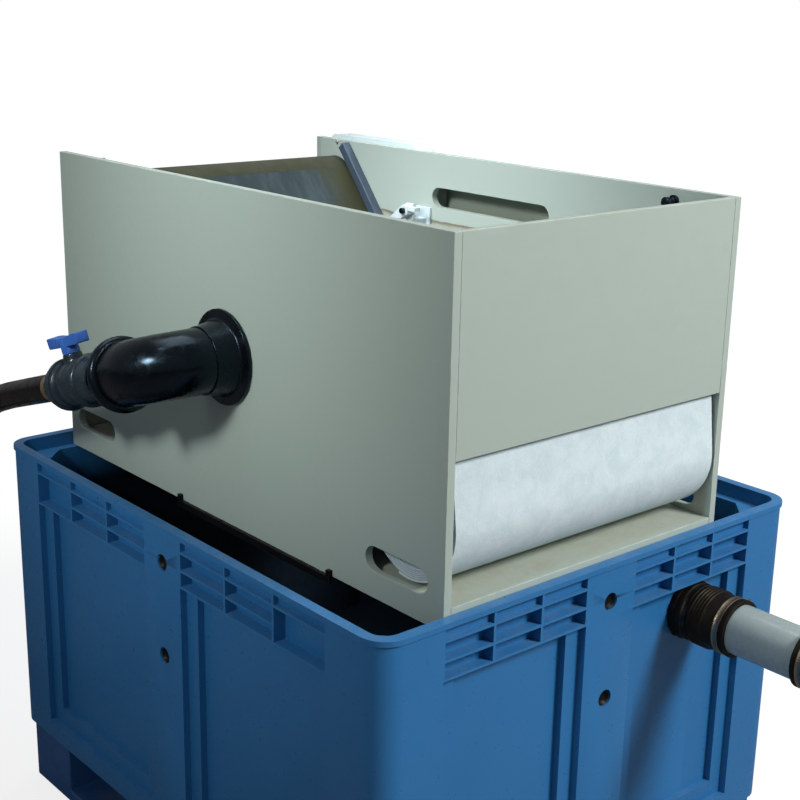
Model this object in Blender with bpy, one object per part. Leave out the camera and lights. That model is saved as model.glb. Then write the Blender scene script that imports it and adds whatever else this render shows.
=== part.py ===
"""Roll fleece pond filter standing in the mouth of its tank.

Metres. The origin is on the floor under the middle of the tank; +Z is up.
-Y is the end with the fleece window and the drain, -X is the side with the inlet.
Clean fleece leaves the supply roll, climbs over the guide roller, lies on the
perforated bed and is wound up, dirty, on the take-up roll.
"""
import math

import bmesh
import bpy
from mathutils import Matrix, Vector

# Driving dimensions -------------------------------------------------------
GAP = 0.0003                      # clearance left between pieces that touch

TANK_X, TANK_Y, TANK_Z = 1.000, 1.200, 0.760
TANK_CORNER = 0.045               # outer corner radius in plan
LIP = 0.003                       # the rim stands this far proud of the walls
LIP_Z = 0.0095                    # height of the rim's edge
RIM_WALL = 0.0195                 # width of the rim's top
LEDGE_DEPTH = 0.0275              # ledge under the rim that carries the filter
CAVITY_INSET = 0.039              # outer face to the cavity wall
CAVITY_CHAMFER = 0.060
RECESS = 0.026                    # depth of the wall fields under the ribs
STEP = 0.013                      # depth of the step beside each pillar
STEP_W = 0.034
TANK_BASE = 0.145                 # underside of the tank, above the runners
TANK_FLOOR = 0.160
FIELD_Z = (0.185, 0.6625)         # wall fields, bottom and top
ROWS_Z = ((0.6665, 0.6930), (0.6975, 0.7260), (0.7305, 0.7500))
ROW_DEPTHS = (0.023, 0.023, 0.010)
CELL_RIB = 0.005                  # rib left between two cells
PILLAR_HALF = 0.058               # half width of a centre pillar
CELLS_PER_BANK = 3
CELL_PITCH = {"x": 0.137, "y": 0.105}   # along a wall whose normal is x or y
PILLAR_HOLE_R = 0.013
PILLAR_HOLES_Z = (0.691, 0.513)

BOX_BOTTOM = TANK_Z - LEDGE_DEPTH + GAP
BOX_H = 0.606
BOX_Y = 0.579                     # half length of the filter box
NEAR_X, FAR_X = -0.360, 0.290     # outer faces of the side panels
SHEET = 0.015                     # panel thickness
FRONT_SHEET = 0.012
WINDOW_TOP = 0.268                # front panel's lower edge over the box bottom
REAR_PANEL_H = 0.422
BASE_TOP = 0.037                  # top of the base plate over the box bottom
DROP_HOLE = ((-0.250, -0.300), (0.180, 0.350))
SLOT_H = 0.042
SLOT_Z = 0.066
SLOTS_Y = ((-0.541, -0.392), (0.401, 0.548))
OVERFLOW_Y = (-0.1515, 0.1825)
OVERFLOW_Z = 0.517

FLEECE = 0.003                    # thickness of the band
FLEECE_X = (-0.339, 0.269)
SUPPLY = (-0.475, 0.150)          # y, and z over the box bottom
SUPPLY_R = 0.100
GUIDE = (-0.515, 0.500)
GUIDE_R = 0.020
TAKEUP = (0.4915, 0.512)
TAKEUP_R = 0.060
RAMP = math.radians(50)
FRONT_FALL = math.radians(67.3)
BED_LEVEL = 0.123
BED_BEND = 0.080

INLET_Z = 0.308                   # over the box bottom, at y = 0
INLET_REACH = 0.135               # near panel to the elbow's corner
INLET_TILT = math.radians(17.3)
ELBOW_R, ELBOW_BEND = 0.058, 0.075
VALVE_LEAN = math.radians(8)

OUTLET = (0.240, 0.604)           # x, z
PIPE_R = 0.045
HOSE_R = 0.027

BASE = BOX_BOTTOM
INNER_NEAR, INNER_FAR = NEAR_X + SHEET, FAR_X - SHEET
OUTER_X, OUTER_Y = TANK_X / 2 - LIP, TANK_Y / 2 - LIP


# Scene and materials ------------------------------------------------------
def clear_scene():
    for obj in list(bpy.data.objects):
        bpy.data.objects.remove(obj, do_unlink=True)


def make_material(name, colour, roughness, metallic=0.0):
    mat = bpy.data.materials.new(name)
    mat.use_nodes = True
    shader = mat.node_tree.nodes["Principled BSDF"]
    shader.inputs["Base Color"].default_value = (*colour, 1)
    shader.inputs["Roughness"].default_value = roughness
    shader.inputs["Metallic"].default_value = metallic
    mat.diffuse_color = (*colour, 1)
    return mat


def make_materials():
    table = {
        "tank_blue": ((0.05, 0.17, 0.42), 0.45, 0),
        "panel": ((0.29, 0.35, 0.31), 0.5, 0),
        "fleece": ((0.75, 0.83, 0.88), 0.95, 0),
        "dirty_fleece": ((0.10, 0.10, 0.08), 0.95, 0),
        "guide": ((0.07, 0.10, 0.16), 0.5, 0),
        "black": ((0.01, 0.011, 0.013), 0.25, 0),
        "rubber": ((0.015, 0.014, 0.013), 0.7, 0),
        "valve_grey": ((0.05, 0.075, 0.10), 0.4, 0),
        "handle_blue": ((0.08, 0.20, 0.60), 0.4, 0),
        "pipe_grey": ((0.45, 0.47, 0.44), 0.4, 0),
        "steel": ((0.6, 0.6, 0.6), 0.3, 1),
        "white": ((0.8, 0.82, 0.84), 0.4, 0),
        "motor": ((0.2, 0.2, 0.21), 0.45, 1),
    }
    return {name: make_material(name, *spec) for name, spec in table.items()}


# Solids -------------------------------------------------------------------
def merge(target, other):
    """Add a bmesh's bodies to another bmesh."""
    mesh = bpy.data.meshes.new("part")
    other.to_mesh(mesh)
    other.free()
    target.from_mesh(mesh)
    bpy.data.meshes.remove(mesh)
    return target


def block(low, high):
    bm = bmesh.new()
    bmesh.ops.create_cube(bm, size=1)
    low, high = Vector(low), Vector(high)
    for v in bm.verts:
        v.co = Vector((low[i] + high[i]) / 2 + v.co[i] * (high[i] - low[i]) for i in range(3))
    return bm


def prism(outline, axis, low, high):
    """An outline in the two other axes, in x, y, z order, extruded along axis."""
    bm = bmesh.new()
    rings = []
    for level in (low, high):
        ring = []
        for a, b in outline:
            place = {"x": (level, a, b), "y": (a, level, b), "z": (a, b, level)}[axis]
            ring.append(bm.verts.new(place))
        rings.append(ring)
    bm.faces.new(rings[0])
    bm.faces.new(rings[1])
    for i in range(len(outline)):
        j = (i + 1) % len(outline)
        bm.faces.new((rings[0][i], rings[0][j], rings[1][j], rings[1][i]))
    bmesh.ops.recalc_face_normals(bm, faces=bm.faces)
    return bm


def axis_frame(origin, direction, up=(0, 0, 1)):
    """A frame whose local Z runs along direction; its local X is as near to up as it can be."""
    z = Vector(direction).normalized()
    up = Vector(up)
    if abs(z.dot(up)) > 0.99:
        up = Vector((0, 1, 0))
    x = (up - z * up.dot(z)).normalized()
    y = z.cross(x)
    return Matrix.Translation(origin) @ Matrix((x, y, z)).transposed().to_4x4()


def turned(profile, frame, segments=20):
    """A profile of (radius, height) points turned about the frame's Z. Radius 0 is a pole."""
    bm = bmesh.new()
    rings = []
    for radius, height in profile:
        if radius == 0:
            rings.append([bm.verts.new(frame @ Vector((0, 0, height)))])
            continue
        ring = []
        for i in range(segments):
            angle = 2 * math.pi * i / segments
            spot = Vector((radius * math.cos(angle), radius * math.sin(angle), height))
            ring.append(bm.verts.new(frame @ spot))
        rings.append(ring)
    is_solid = profile[0][0] == 0 and profile[-1][0] == 0
    pairs = list(zip(rings, rings[1:]))
    if not is_solid:
        pairs.append((rings[-1], rings[0]))
    for a, b in pairs:
        for i in range(segments):
            j = (i + 1) % segments
            corners = [a[i % len(a)], a[j % len(a)], b[j % len(b)], b[i % len(b)]]
            bm.faces.new(list(dict.fromkeys(corners)))
    bmesh.ops.recalc_face_normals(bm, faces=bm.faces)
    return bm


def disc(radius, low, high, frame, segments=20):
    return turned([(0, low), (radius, low), (radius, high), (0, high)], frame, segments)


def ring(outer, inner, low, high, frame, segments=20):
    profile = [(inner, low), (outer, low), (outer, high), (inner, high)]
    return turned(profile, frame, segments)


def obround(y_low, y_high, z_mid, height, segments=8):
    """Outline of a slot with round ends, in y and z."""
    r = height / 2
    points = []
    for centre, start in ((y_high - r, -90), (y_low + r, 90)):
        for i in range(segments + 1):
            angle = math.radians(start + 180 * i / segments)
            points.append((centre + r * math.cos(angle), z_mid + r * math.sin(angle)))
    return points


def rounded_rectangle(half_x, half_y, radius, segments=6):
    points = []
    for sx, sy, start in ((1, 1, 0), (-1, 1, 90), (-1, -1, 180), (1, -1, 270)):
        for i in range(segments + 1):
            angle = math.radians(start + 90 * i / segments)
            x = sx * (half_x - radius) + radius * math.cos(angle)
            y = sy * (half_y - radius) + radius * math.sin(angle)
            points.append((x, y))
    return points


def build(name, bm, mat, pivot=(0, 0, 0), smooth=35):
    """Make the node's object from a bmesh in world coordinates, with its origin at pivot."""
    bmesh.ops.translate(bm, verts=bm.verts, vec=-Vector(pivot))
    mesh = bpy.data.meshes.new(name)
    bm.to_mesh(mesh)
    bm.free()
    mesh.materials.append(mat)
    mesh.shade_smooth()
    mesh.set_sharp_from_angle(angle=math.radians(smooth))
    obj = bpy.data.objects.new(name, mesh)
    obj.location = pivot
    bpy.context.scene.collection.objects.link(obj)
    return obj


def boolean(obj, bm, operation="DIFFERENCE"):
    """Cut obj with, or join it to, the bodies of a bmesh in world coordinates."""
    tool = build(f"{obj.name}_{operation.lower()}", bm, obj.data.materials[0])
    tool.display_type = "WIRE"
    tool.hide_render = True
    tool.hide_set(True)
    step = obj.modifiers.new(operation.title(), "BOOLEAN")
    step.operation = operation
    step.object = tool
    step.solver = "EXACT"


# Tank ---------------------------------------------------------------------
def wall_frames():
    """Each wall as the axis of its normal, the normal's sign and its outer face."""
    return (("x", -1, OUTER_X), ("x", 1, OUTER_X), ("y", -1, OUTER_Y), ("y", 1, OUTER_Y))


def wall_block(axis, sign, face, depth, low, high, z_low, z_high):
    """A cutter that goes depth into a wall, from low to high along it."""
    outer, inner = sign * (face + 0.01), sign * (face - depth)
    across = (min(outer, inner), max(outer, inner))
    if axis == "x":
        return block((across[0], low, z_low), (across[1], high, z_high))
    return block((low, across[0], z_low), (high, across[1], z_high))


def cell_rows(axis, column):
    """Each cell's heights and depth; the long walls' outer columns have one tall cell for two."""
    rows = list(zip(ROWS_Z, ROW_DEPTHS))
    if axis == "x" and column == CELLS_PER_BANK - 1:
        return [((ROWS_Z[0][0], ROWS_Z[1][1]), ROW_DEPTHS[0]), rows[-1]]
    return rows


def cell_cutters():
    """The ribbed band's cells, in two banks on each wall."""
    cut = bmesh.new()
    for axis, sign, face in wall_frames():
        pitch = CELL_PITCH[axis]
        for side in (-1, 1):
            for column in range(CELLS_PER_BANK):
                ends = sorted(side * (PILLAR_HALF + pitch * k + CELL_RIB / 2 * s)
                              for k, s in ((column, 1), (column + 1, -1)))
                for (z_low, z_high), depth in cell_rows(axis, column):
                    merge(cut, wall_block(axis, sign, face, depth, *ends, z_low, z_high))
    return cut


def field_cutters(inset, depth):
    """The wall fields between the pillars, narrowed by inset."""
    cut = bmesh.new()
    for axis, sign, face in wall_frames():
        bank_end = PILLAR_HALF + CELLS_PER_BANK * CELL_PITCH[axis]
        for side in (-1, 1):
            ends = sorted((side * (PILLAR_HALF + inset), side * (bank_end - inset)))
            merge(cut, wall_block(axis, sign, face, depth, *ends, FIELD_Z[0] + inset, FIELD_Z[1]))
    return cut


def pillar_cutters():
    """Hollows of the pillars, open below, and the round holes in their faces."""
    cut = bmesh.new()
    wall, back = 0.006, 0.026
    corner = {"x": (0.482, 0.546), "y": (0.385, 0.446)}
    for axis, sign, face in wall_frames():
        spans = [(-PILLAR_HALF + 0.008, PILLAR_HALF - 0.008)]
        low, high = corner[axis]
        spans += [(low, high), (-high, -low)]
        for low, high in spans:
            near, far = sorted((sign * (face - wall), sign * (face - back)))
            if axis == "x":
                merge(cut, block((near, low, TANK_BASE - 0.01), (far, high, FIELD_Z[1])))
            else:
                merge(cut, block((low, near, TANK_BASE - 0.01), (high, far, FIELD_Z[1])))
    return cut


def pillar_holes():
    cut = bmesh.new()
    for axis, sign, face in wall_frames():
        for z in PILLAR_HOLES_Z:
            spot = (sign * face, 0, z) if axis == "x" else (0, sign * face, z)
            out = (sign, 0, 0) if axis == "x" else (0, sign, 0)
            low = -0.016 if z < FIELD_Z[1] - 0.02 else -0.020
            merge(cut, disc(PILLAR_HOLE_R, low, 0.01, axis_frame(spot, out), 16))
    return cut


def chamfered(half_x, half_y, cut):
    return [(half_x - cut, -half_y), (half_x, cut - half_y), (half_x, half_y - cut),
            (half_x - cut, half_y), (cut - half_x, half_y), (-half_x, half_y - cut),
            (-half_x, cut - half_y), (cut - half_x, -half_y)]


def make_tank(mats):
    walls = rounded_rectangle(OUTER_X, OUTER_Y, TANK_CORNER)
    rim = rounded_rectangle(TANK_X / 2, TANK_Y / 2, TANK_CORNER + LIP)
    tank = build("tank", prism(walls, "z", TANK_BASE, TANK_Z - 0.002), mats["tank_blue"])
    boolean(tank, prism(rim, "z", TANK_Z - LIP_Z, TANK_Z), "UNION")
    mouth = rounded_rectangle(TANK_X / 2 - RIM_WALL, TANK_Y / 2 - RIM_WALL, 0.030, 4)
    hollow = prism(mouth, "z", TANK_Z - LEDGE_DEPTH, TANK_Z + 0.05)
    boolean(tank, hollow)
    cavity = chamfered(TANK_X / 2 - CAVITY_INSET, TANK_Y / 2 - CAVITY_INSET, CAVITY_CHAMFER)
    boolean(tank, prism(cavity, "z", TANK_FLOOR, TANK_Z))
    boolean(tank, cell_cutters())
    boolean(tank, field_cutters(0, STEP))
    boolean(tank, field_cutters(STEP_W, RECESS))
    boolean(tank, pillar_cutters())
    boolean(tank, pillar_holes())
    drain = axis_frame((OUTLET[0], -TANK_Y / 2, OUTLET[1]), (0, 1, 0))
    boolean(tank, disc(PIPE_R + 0.0007, -0.05, 0.08, drain))


def make_runners(mats):
    """Three clip-on runners, each a board with three feet, that leave room for forks."""
    length, width, board, foot = 0.580, 0.110, 0.026, 0.150
    top = TANK_BASE - GAP
    outline = [(-length, 0), (length, 0), (length, top), (length - foot, top),
               (length - foot, board), (foot / 2, board), (foot / 2, top),
               (-foot / 2, top), (-foot / 2, board), (foot - length, board),
               (foot - length, top), (-length, top)]
    places = {"left": -0.425, "centre": 0.0, "right": 0.425}
    for name, x in places.items():
        bm = prism(outline, "x", x - width / 2, x + width / 2)
        build(f"runner_{name}", bm, mats["tank_blue"])


# Drain --------------------------------------------------------------------
def make_drain(mats):
    """Tank connector, rubber coupling, pipe and the sleeve for the next pipe."""
    wall = -(TANK_Y / 2 - LIP - RECESS)
    inner_wall = -(TANK_Y / 2 - CAVITY_INSET)
    centre = (OUTLET[0], 0, OUTLET[1])
    frame = axis_frame(centre, (0, -1, 0))
    bore = 0.0415
    flange = -inner_wall - GAP
    joint_at = 0.628
    connector = [(bore, flange - 0.011), (0.062, flange - 0.011), (0.062, flange),
                 (PIPE_R, flange), (PIPE_R, joint_at), (bore, joint_at)]
    build("outlet_connector", turned(connector, frame, 24), mats["pipe_grey"])
    nut = -wall + GAP
    build("outlet_nut", ring(0.056, PIPE_R + 0.0005, nut, nut + 0.012, frame, 24), mats["black"])
    start, end = nut + 0.0125, 0.690
    coupling = [(PIPE_R + 0.0005, start), (0.0535, start), (0.0535, start + 0.011),
                (0.0515, start + 0.012), (0.0515, start + 0.026), (0.0545, start + 0.030),
                (0.0545, end - 0.044), (0.0505, end - 0.026), (0.0505, end - 0.008),
                (0.0525, end - 0.005), (0.0525, end), (PIPE_R + 0.0005, end)]
    build("outlet_coupling", turned(coupling, frame, 24), mats["rubber"])
    pipe_end = 0.875
    pipe = ring(PIPE_R, bore, joint_at + 0.0005, pipe_end, frame, 24)
    build("outlet_pipe", pipe, mats["pipe_grey"])
    low, high = 0.8255, 0.925
    sleeve = [(PIPE_R + 0.0005, low), (0.0525, low), (0.0525, low + 0.005),
              (0.0505, low + 0.008), (0.0505, low + 0.026), (0.0535, low + 0.030),
              (0.0535, high), (PIPE_R + 0.0005, high)]
    build("outlet_sleeve", turned(sleeve, frame, 24), mats["rubber"])
    places = {"clamp_tank_end": (start + 0.013, 0.0520), "clamp_pipe_end": (end - 0.024, 0.0510),
              "sleeve_clamp": (low + 0.010, 0.0510)}
    for name, (at, inner) in places.items():
        clamp = build(name, ring(inner + 0.0016, inner, at, at + 0.012, frame, 24), mats["steel"])
        middle = (OUTLET[0] - 0.010, -at - 0.006, OUTLET[1] + inner + 0.0052)
        boolean(clamp, disc(0.0045, 0, 0.020, axis_frame(middle, (1, 0, 0)), 12), "UNION")


# Filter box ---------------------------------------------------------------
def side_panel(name, x_low, mat):
    bm = block((x_low, -BOX_Y, BASE), (x_low + SHEET, BOX_Y, BASE + BOX_H))
    panel = build(name, bm, mat)
    slots = bmesh.new()
    for y_low, y_high in SLOTS_Y:
        outline = obround(y_low, y_high, BASE + SLOT_Z, SLOT_H)
        merge(slots, prism(outline, "x", x_low - 0.01, x_low + SHEET + 0.01))
    boolean(panel, slots)
    return panel


def make_panels(mats):
    mat = mats["panel"]
    near = side_panel("side_panel_near", NEAR_X, mat)
    inlet = axis_frame((NEAR_X, 0, BASE + INLET_Z), (1, 0, 0))
    boolean(near, disc(0.053, -0.01, 0.03, inlet))
    far = side_panel("side_panel_far", INNER_FAR, mat)
    slot = obround(*OVERFLOW_Y, BASE + OVERFLOW_Z, 0.040)
    boolean(far, prism(slot, "x", INNER_FAR - 0.01, FAR_X + 0.01))
    shaft = axis_frame((FAR_X, TAKEUP[0], BASE + TAKEUP[1]), (1, 0, 0))
    boolean(far, disc(0.0135, -0.03, 0.01, shaft))
    x_low, x_high = INNER_NEAR + GAP, INNER_FAR - GAP
    front = block((x_low, -BOX_Y, BASE + WINDOW_TOP), (x_high, FRONT_SHEET - BOX_Y, BASE + BOX_H))
    build("front_panel", front, mat)
    rear = block((x_low, BOX_Y - SHEET, BASE), (x_high, BOX_Y, BASE + REAR_PANEL_H))
    build("rear_panel", rear, mat)
    floor_low = BASE + BASE_TOP - SHEET
    floor = block((x_low, -BOX_Y, floor_low), (x_high, BOX_Y - SHEET - GAP, BASE + BASE_TOP))
    plate = build("base_plate", floor, mat)
    (x0, y0), (x1, y1) = DROP_HOLE
    boolean(plate, block((x0, y0, floor_low - 0.01), (x1, y1, BASE + BASE_TOP + 0.01)))


def make_edge_rail(mats):
    """Flat bar with turned-up ends along the near panel's lower edge."""
    low, high, end = BASE - 0.012, BASE + 0.001, BASE + 0.012
    y_low, y_high, tip = -0.3085, 0.1575, 0.010
    outline = [(y_low, low), (y_high, low), (y_high, end), (y_high - tip, end),
               (y_high - tip, high), (y_low + tip, high), (y_low + tip, end), (y_low, end)]
    bm = prism(outline, "x", NEAR_X - 0.008, NEAR_X - GAP)
    build("edge_rail", bm, mats["black"])


def make_overflow_hood(mats):
    """Hood over the overflow slot, on the far panel's outside; it is open below."""
    x_low, depth, wall = FAR_X + GAP, 0.045, 0.004
    y_low, y_high = OVERFLOW_Y[0] - 0.020, OVERFLOW_Y[1] + 0.020
    z_low, z_high = BASE + OVERFLOW_Z - 0.130, BASE + OVERFLOW_Z + 0.045
    slope = [(x_low, z_low), (x_low + depth, z_low), (x_low + depth, z_high - 0.015),
             (x_low + depth - 0.015, z_high), (x_low, z_high)]
    hood = build("overflow_hood", prism(slope, "y", y_low, y_high), mats["guide"])
    inner = [(x_low - 0.01, z_low - 0.01), (x_low + depth - wall, z_low - 0.01),
             (x_low + depth - wall, z_high - 0.015 - wall / 2),
             (x_low + depth - 0.015 - wall / 2, z_high - wall), (x_low - 0.01, z_high - wall)]
    boolean(hood, prism(inner, "y", y_low + wall, y_high - wall))


# Fleece path --------------------------------------------------------------
def at_box(spot):
    """A (y, z over the box bottom) pair in world y and z."""
    return Vector((spot[0], spot[1] + BASE))


def arc(centre, radius, start, end, steps):
    return [centre + radius * Vector((math.cos(start + (end - start) * i / steps),
                                      math.sin(start + (end - start) * i / steps)))
            for i in range(steps + 1)]


def front_tangent(first, first_r, second, second_r):
    """The unit normal, towards -Y, of the line that touches two circles on their front side."""
    line = second - first
    along = line.normalized()
    ratio = (first_r - second_r) / line.length
    across = Vector((-along.y, along.x))
    return along * ratio + across * math.sqrt(1 - ratio * ratio)


def bent(corner, before, after, radius, steps=6):
    """Points of a bend at corner, between two unit directions that run up to and away from it."""
    turn = math.acos(max(-1, min(1, before.dot(after))))
    reach = radius * math.tan(turn / 2)
    side = Vector((-before.y, before.x))
    if side.dot(after) < 0:
        side = -side
    centre = corner - before * reach + side * radius
    start = (corner - before * reach) - centre
    end = (corner + after * reach) - centre
    a0, a1 = math.atan2(start.y, start.x), math.atan2(end.y, end.x)
    while a1 - a0 > math.pi:
        a1 -= 2 * math.pi
    while a1 - a0 < -math.pi:
        a1 += 2 * math.pi
    return arc(centre, radius, a0, a1, steps)


def band_lines():
    """The band's centre line: the climb and wrap at the front, then the bed and the ramp."""
    lift = GAP + FLEECE / 2
    supply, guide, takeup = at_box(SUPPLY), at_box(GUIDE), at_box(TAKEUP)
    normal = front_tangent(supply, SUPPLY_R + lift, guide, GUIDE_R + lift)
    first = supply + normal * (SUPPLY_R + lift)
    down = Vector((math.cos(FRONT_FALL), -math.sin(FRONT_FALL)))
    off = Vector((math.sin(FRONT_FALL), math.cos(FRONT_FALL)))
    start, end = math.atan2(normal.y, normal.x), math.atan2(off.y, off.x)
    wrap = arc(guide, GUIDE_R + lift, start, end, 10)
    up = Vector((math.cos(RAMP), math.sin(RAMP)))
    last = takeup + (TAKEUP_R + lift) * Vector((-math.sin(RAMP), math.cos(RAMP)))
    level = BASE + BED_LEVEL
    first_corner = wrap[-1] + down * ((wrap[-1].y - level) / -down.y)
    second_corner = last - up * ((last.y - level) / up.y)
    flat = Vector((1, 0))
    bed = bent(first_corner, down, flat, BED_BEND) + bent(second_corner, flat, up, BED_BEND)
    return [first] + wrap, bed, (down, up), last


def strip(line, offset, thickness, x_low, x_high):
    """A band of even thickness beside a line in y and z, from x_low to x_high."""
    sides = ([], [])
    for i, point in enumerate(line):
        before = (point - line[i - 1]).normalized() if i else None
        after = (line[i + 1] - point).normalized() if i + 1 < len(line) else None
        before, after = before or after, after or before
        mean = (before + after).normalized()
        normal = Vector((-mean.y, mean.x)) / max(0.3, mean.dot(after))
        for side, share in zip(sides, (0.5, -0.5)):
            side.append(tuple(point + normal * (offset + share * thickness)))
    return prism(sides[0] + sides[1][::-1], "x", x_low, x_high)


def make_band(mats):
    """The fleece from the supply roll's front to the take-up roll."""
    climb, bed, _, last = band_lines()
    build("fleece_web", strip(climb + bed + [last], 0, FLEECE, *FLEECE_X), mats["fleece"])


def make_bed(mats):
    """Perforated plate under the band, and the edge guides that hold the band down."""
    climb, bed, (down, up), last = band_lines()
    plate, under = 0.003, FLEECE + GAP
    line = [climb[-1] + down * 0.035] + bed + [last - up * 0.070]
    solid = strip(line, -under, plate, INNER_NEAR + GAP, INNER_FAR - GAP)
    deck = build("fleece_bed", solid, mats["steel"])
    slots = bmesh.new()
    level = BASE + BED_LEVEL
    for row in range(4):
        for column in range(4):
            x, y = -0.242 + 0.138 * column, -0.230 + 0.080 * row
            merge(slots, block((x - 0.055, y - 0.010, level - 0.03), (x + 0.055, y + 0.010, level)))
    boolean(deck, slots)
    line = [climb[-1] + down * 0.050] + bed + [last, last + up * 0.050]
    height = 0.020
    above = FLEECE / 2 + GAP + height / 2
    for name, low in (("near", INNER_NEAR + GAP), ("far", INNER_FAR - GAP - 0.020)):
        build(f"edge_guide_{name}", strip(line, above, height, low, low + 0.020), mats["guide"])


def cross_frame(spot):
    """A frame along +X at a (y, z) place, with its origin at x = 0."""
    y, z = at_box(spot)
    return axis_frame((0, y, z), (1, 0, 0))


def make_supply_roll(mats):
    frame, pivot = cross_frame(SUPPLY), (0, *at_box(SUPPLY))
    low, high = FLEECE_X
    core = 0.030
    roll = ring(SUPPLY_R, core + GAP, low, high, frame, 40)
    build("supply_fleece", roll, mats["fleece"], pivot)
    build("supply_core", ring(core, 0.025, low, high, frame, 24), mats["pipe_grey"], pivot)
    plugs = {"near": (low + 0.030, low - 0.0005, INNER_NEAR + 0.001),
             "far": (high - 0.030, high + 0.0005, INNER_FAR - 0.001)}
    for side, (inner, outer, tip) in plugs.items():
        profile = [(0, inner), (0.0247, inner), (0.0247, outer), (0.015, outer), (0.015, tip), (0, tip)]
        build(f"core_plug_{side}", turned(profile, frame, 24), mats["black"], pivot)
    y, z = at_box(SUPPLY)
    slot = 0.0153
    half, foot, top = 0.032, z - 0.034, z + 0.020
    cup = [(y + slot * math.cos(a), z + slot * math.sin(a))
           for a in (math.radians(180 + 20 * i) for i in range(10))]
    outline = [(y - half, foot), (y + half, foot), (y + half, top), (y + slot, top)]
    outline += cup[::-1] + [(y - slot, top), (y - half, top)]
    spans = {"near": (INNER_NEAR + GAP, low - 0.0010), "far": (high + 0.0010, INNER_FAR - GAP)}
    for side, span in spans.items():
        build(f"roll_keeper_{side}", prism(outline, "x", *span), mats["guide"])


def make_guide_roller(mats):
    frame, pivot = cross_frame(GUIDE), (0, *at_box(GUIDE))
    roller = ring(GUIDE_R, 0.0103, INNER_NEAR + 0.004, INNER_FAR - 0.004, frame, 24)
    build("guide_roller", roller, mats["pipe_grey"], pivot)
    shaft = disc(0.010, INNER_NEAR + GAP, INNER_FAR - GAP, frame, 24)
    build("guide_roller_shaft", shaft, mats["steel"])


def make_takeup(mats):
    """Take-up roll with its core, journal plug, drive shaft and near bearing."""
    frame, pivot = cross_frame(TAKEUP), (0, *at_box(TAKEUP))
    low, high = -0.333, 0.263
    core, inner = 0.025, 0.021
    roll = ring(TAKEUP_R, core + GAP, low, high, frame, 32)
    build("takeup_fleece", roll, mats["dirty_fleece"], pivot)
    build("takeup_core", ring(core, inner, low, high, frame, 24), mats["pipe_grey"], pivot)
    plug, journal = inner - GAP, 0.0125
    near = [(0, low + 0.030), (plug, low + 0.030), (plug, low - 0.001), (journal, low - 0.001),
            (journal, INNER_NEAR + 0.002), (0, INNER_NEAR + 0.002)]
    build("takeup_plug", turned(near, frame, 24), mats["black"], pivot)
    shaft = [(0, high - 0.040), (plug, high - 0.040), (plug, high + 0.001), (journal, high + 0.001),
             (journal, FAR_X + 0.030), (0, FAR_X + 0.030)]
    build("drive_shaft", turned(shaft, frame, 24), mats["steel"], pivot)
    y, z = at_box(TAKEUP)
    half = 0.030
    outline = [(y - half, z - half), (y + half, z - half), (y + half, z + half), (y - half, z + half)]
    bearing = prism(outline, "x", INNER_NEAR + GAP, low - 0.0015)
    bearing = build("takeup_bearing", bearing, mats["black"])
    boolean(bearing, disc(journal + GAP, INNER_NEAR - 0.01, low + 0.01, frame, 24))


# Drive --------------------------------------------------------------------
def make_drive(mats):
    """Worm gearbox and motor on the far panel's outside, under a cover that is open behind."""
    y, z = at_box(TAKEUP)
    x = FAR_X + GAP
    box = build("gearbox", block((x, y - 0.040, z - 0.045), (x + 0.034, y + 0.040, z + 0.045)),
                mats["motor"])
    frame = cross_frame(TAKEUP)
    boolean(box, disc(0.0129, x - 0.01, x + 0.050, frame, 24))
    motor = axis_frame((x + 0.0225, y - 0.040 - GAP, z), (0, -1, 0))
    profile = [(0, 0), (0.014, 0), (0.014, 0.010), (0.0220, 0.012), (0.0220, 0.130), (0.0200, 0.134),
               (0.010, 0.134), (0.010, 0.140), (0, 0.140)]
    build("gear_motor", turned(profile, motor, 24), mats["motor"])
    y_low, y_high, z_low, z_high = 0.2495, 0.5495, 1.100, 1.347
    depth, wall = 0.052, 0.003
    outline = cover_outline(y_low, y_high, z_low, z_high, 0.022)
    cover = build("drive_cover", prism(outline, "x", x, x + depth), mats["white"])
    inner = cover_outline(y_low + wall, y_high - wall, z_low + wall, z_high - wall, 0.019)
    boolean(cover, prism(inner, "x", x - 0.01, x + depth - wall))
    gland = axis_frame((x + 0.026, 0.300, z_low - 0.012), (0, 0, 1))
    boolean(cover, disc(0.0082, 0.005, 0.030, gland, 16))
    profile = [(0, -0.010), (0.007, -0.010), (0.010, -0.002), (0.013, 0.0), (0.013, 0.0117),
               (0.008, 0.0117), (0.008, 0.022), (0, 0.022)]
    build("cable_gland", turned(profile, gland, 16), mats["black"])


def cover_outline(y_low, y_high, z_low, z_high, radius):
    centre = ((y_low + y_high) / 2, (z_low + z_high) / 2)
    shape = rounded_rectangle((y_high - y_low) / 2, (z_high - z_low) / 2, radius, 4)
    return [(centre[0] + a, centre[1] + b) for a, b in shape]


# Float switch and hook -----------------------------------------------------
FLOAT_PIVOT = (0.225, 0.205, 1.222)


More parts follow.
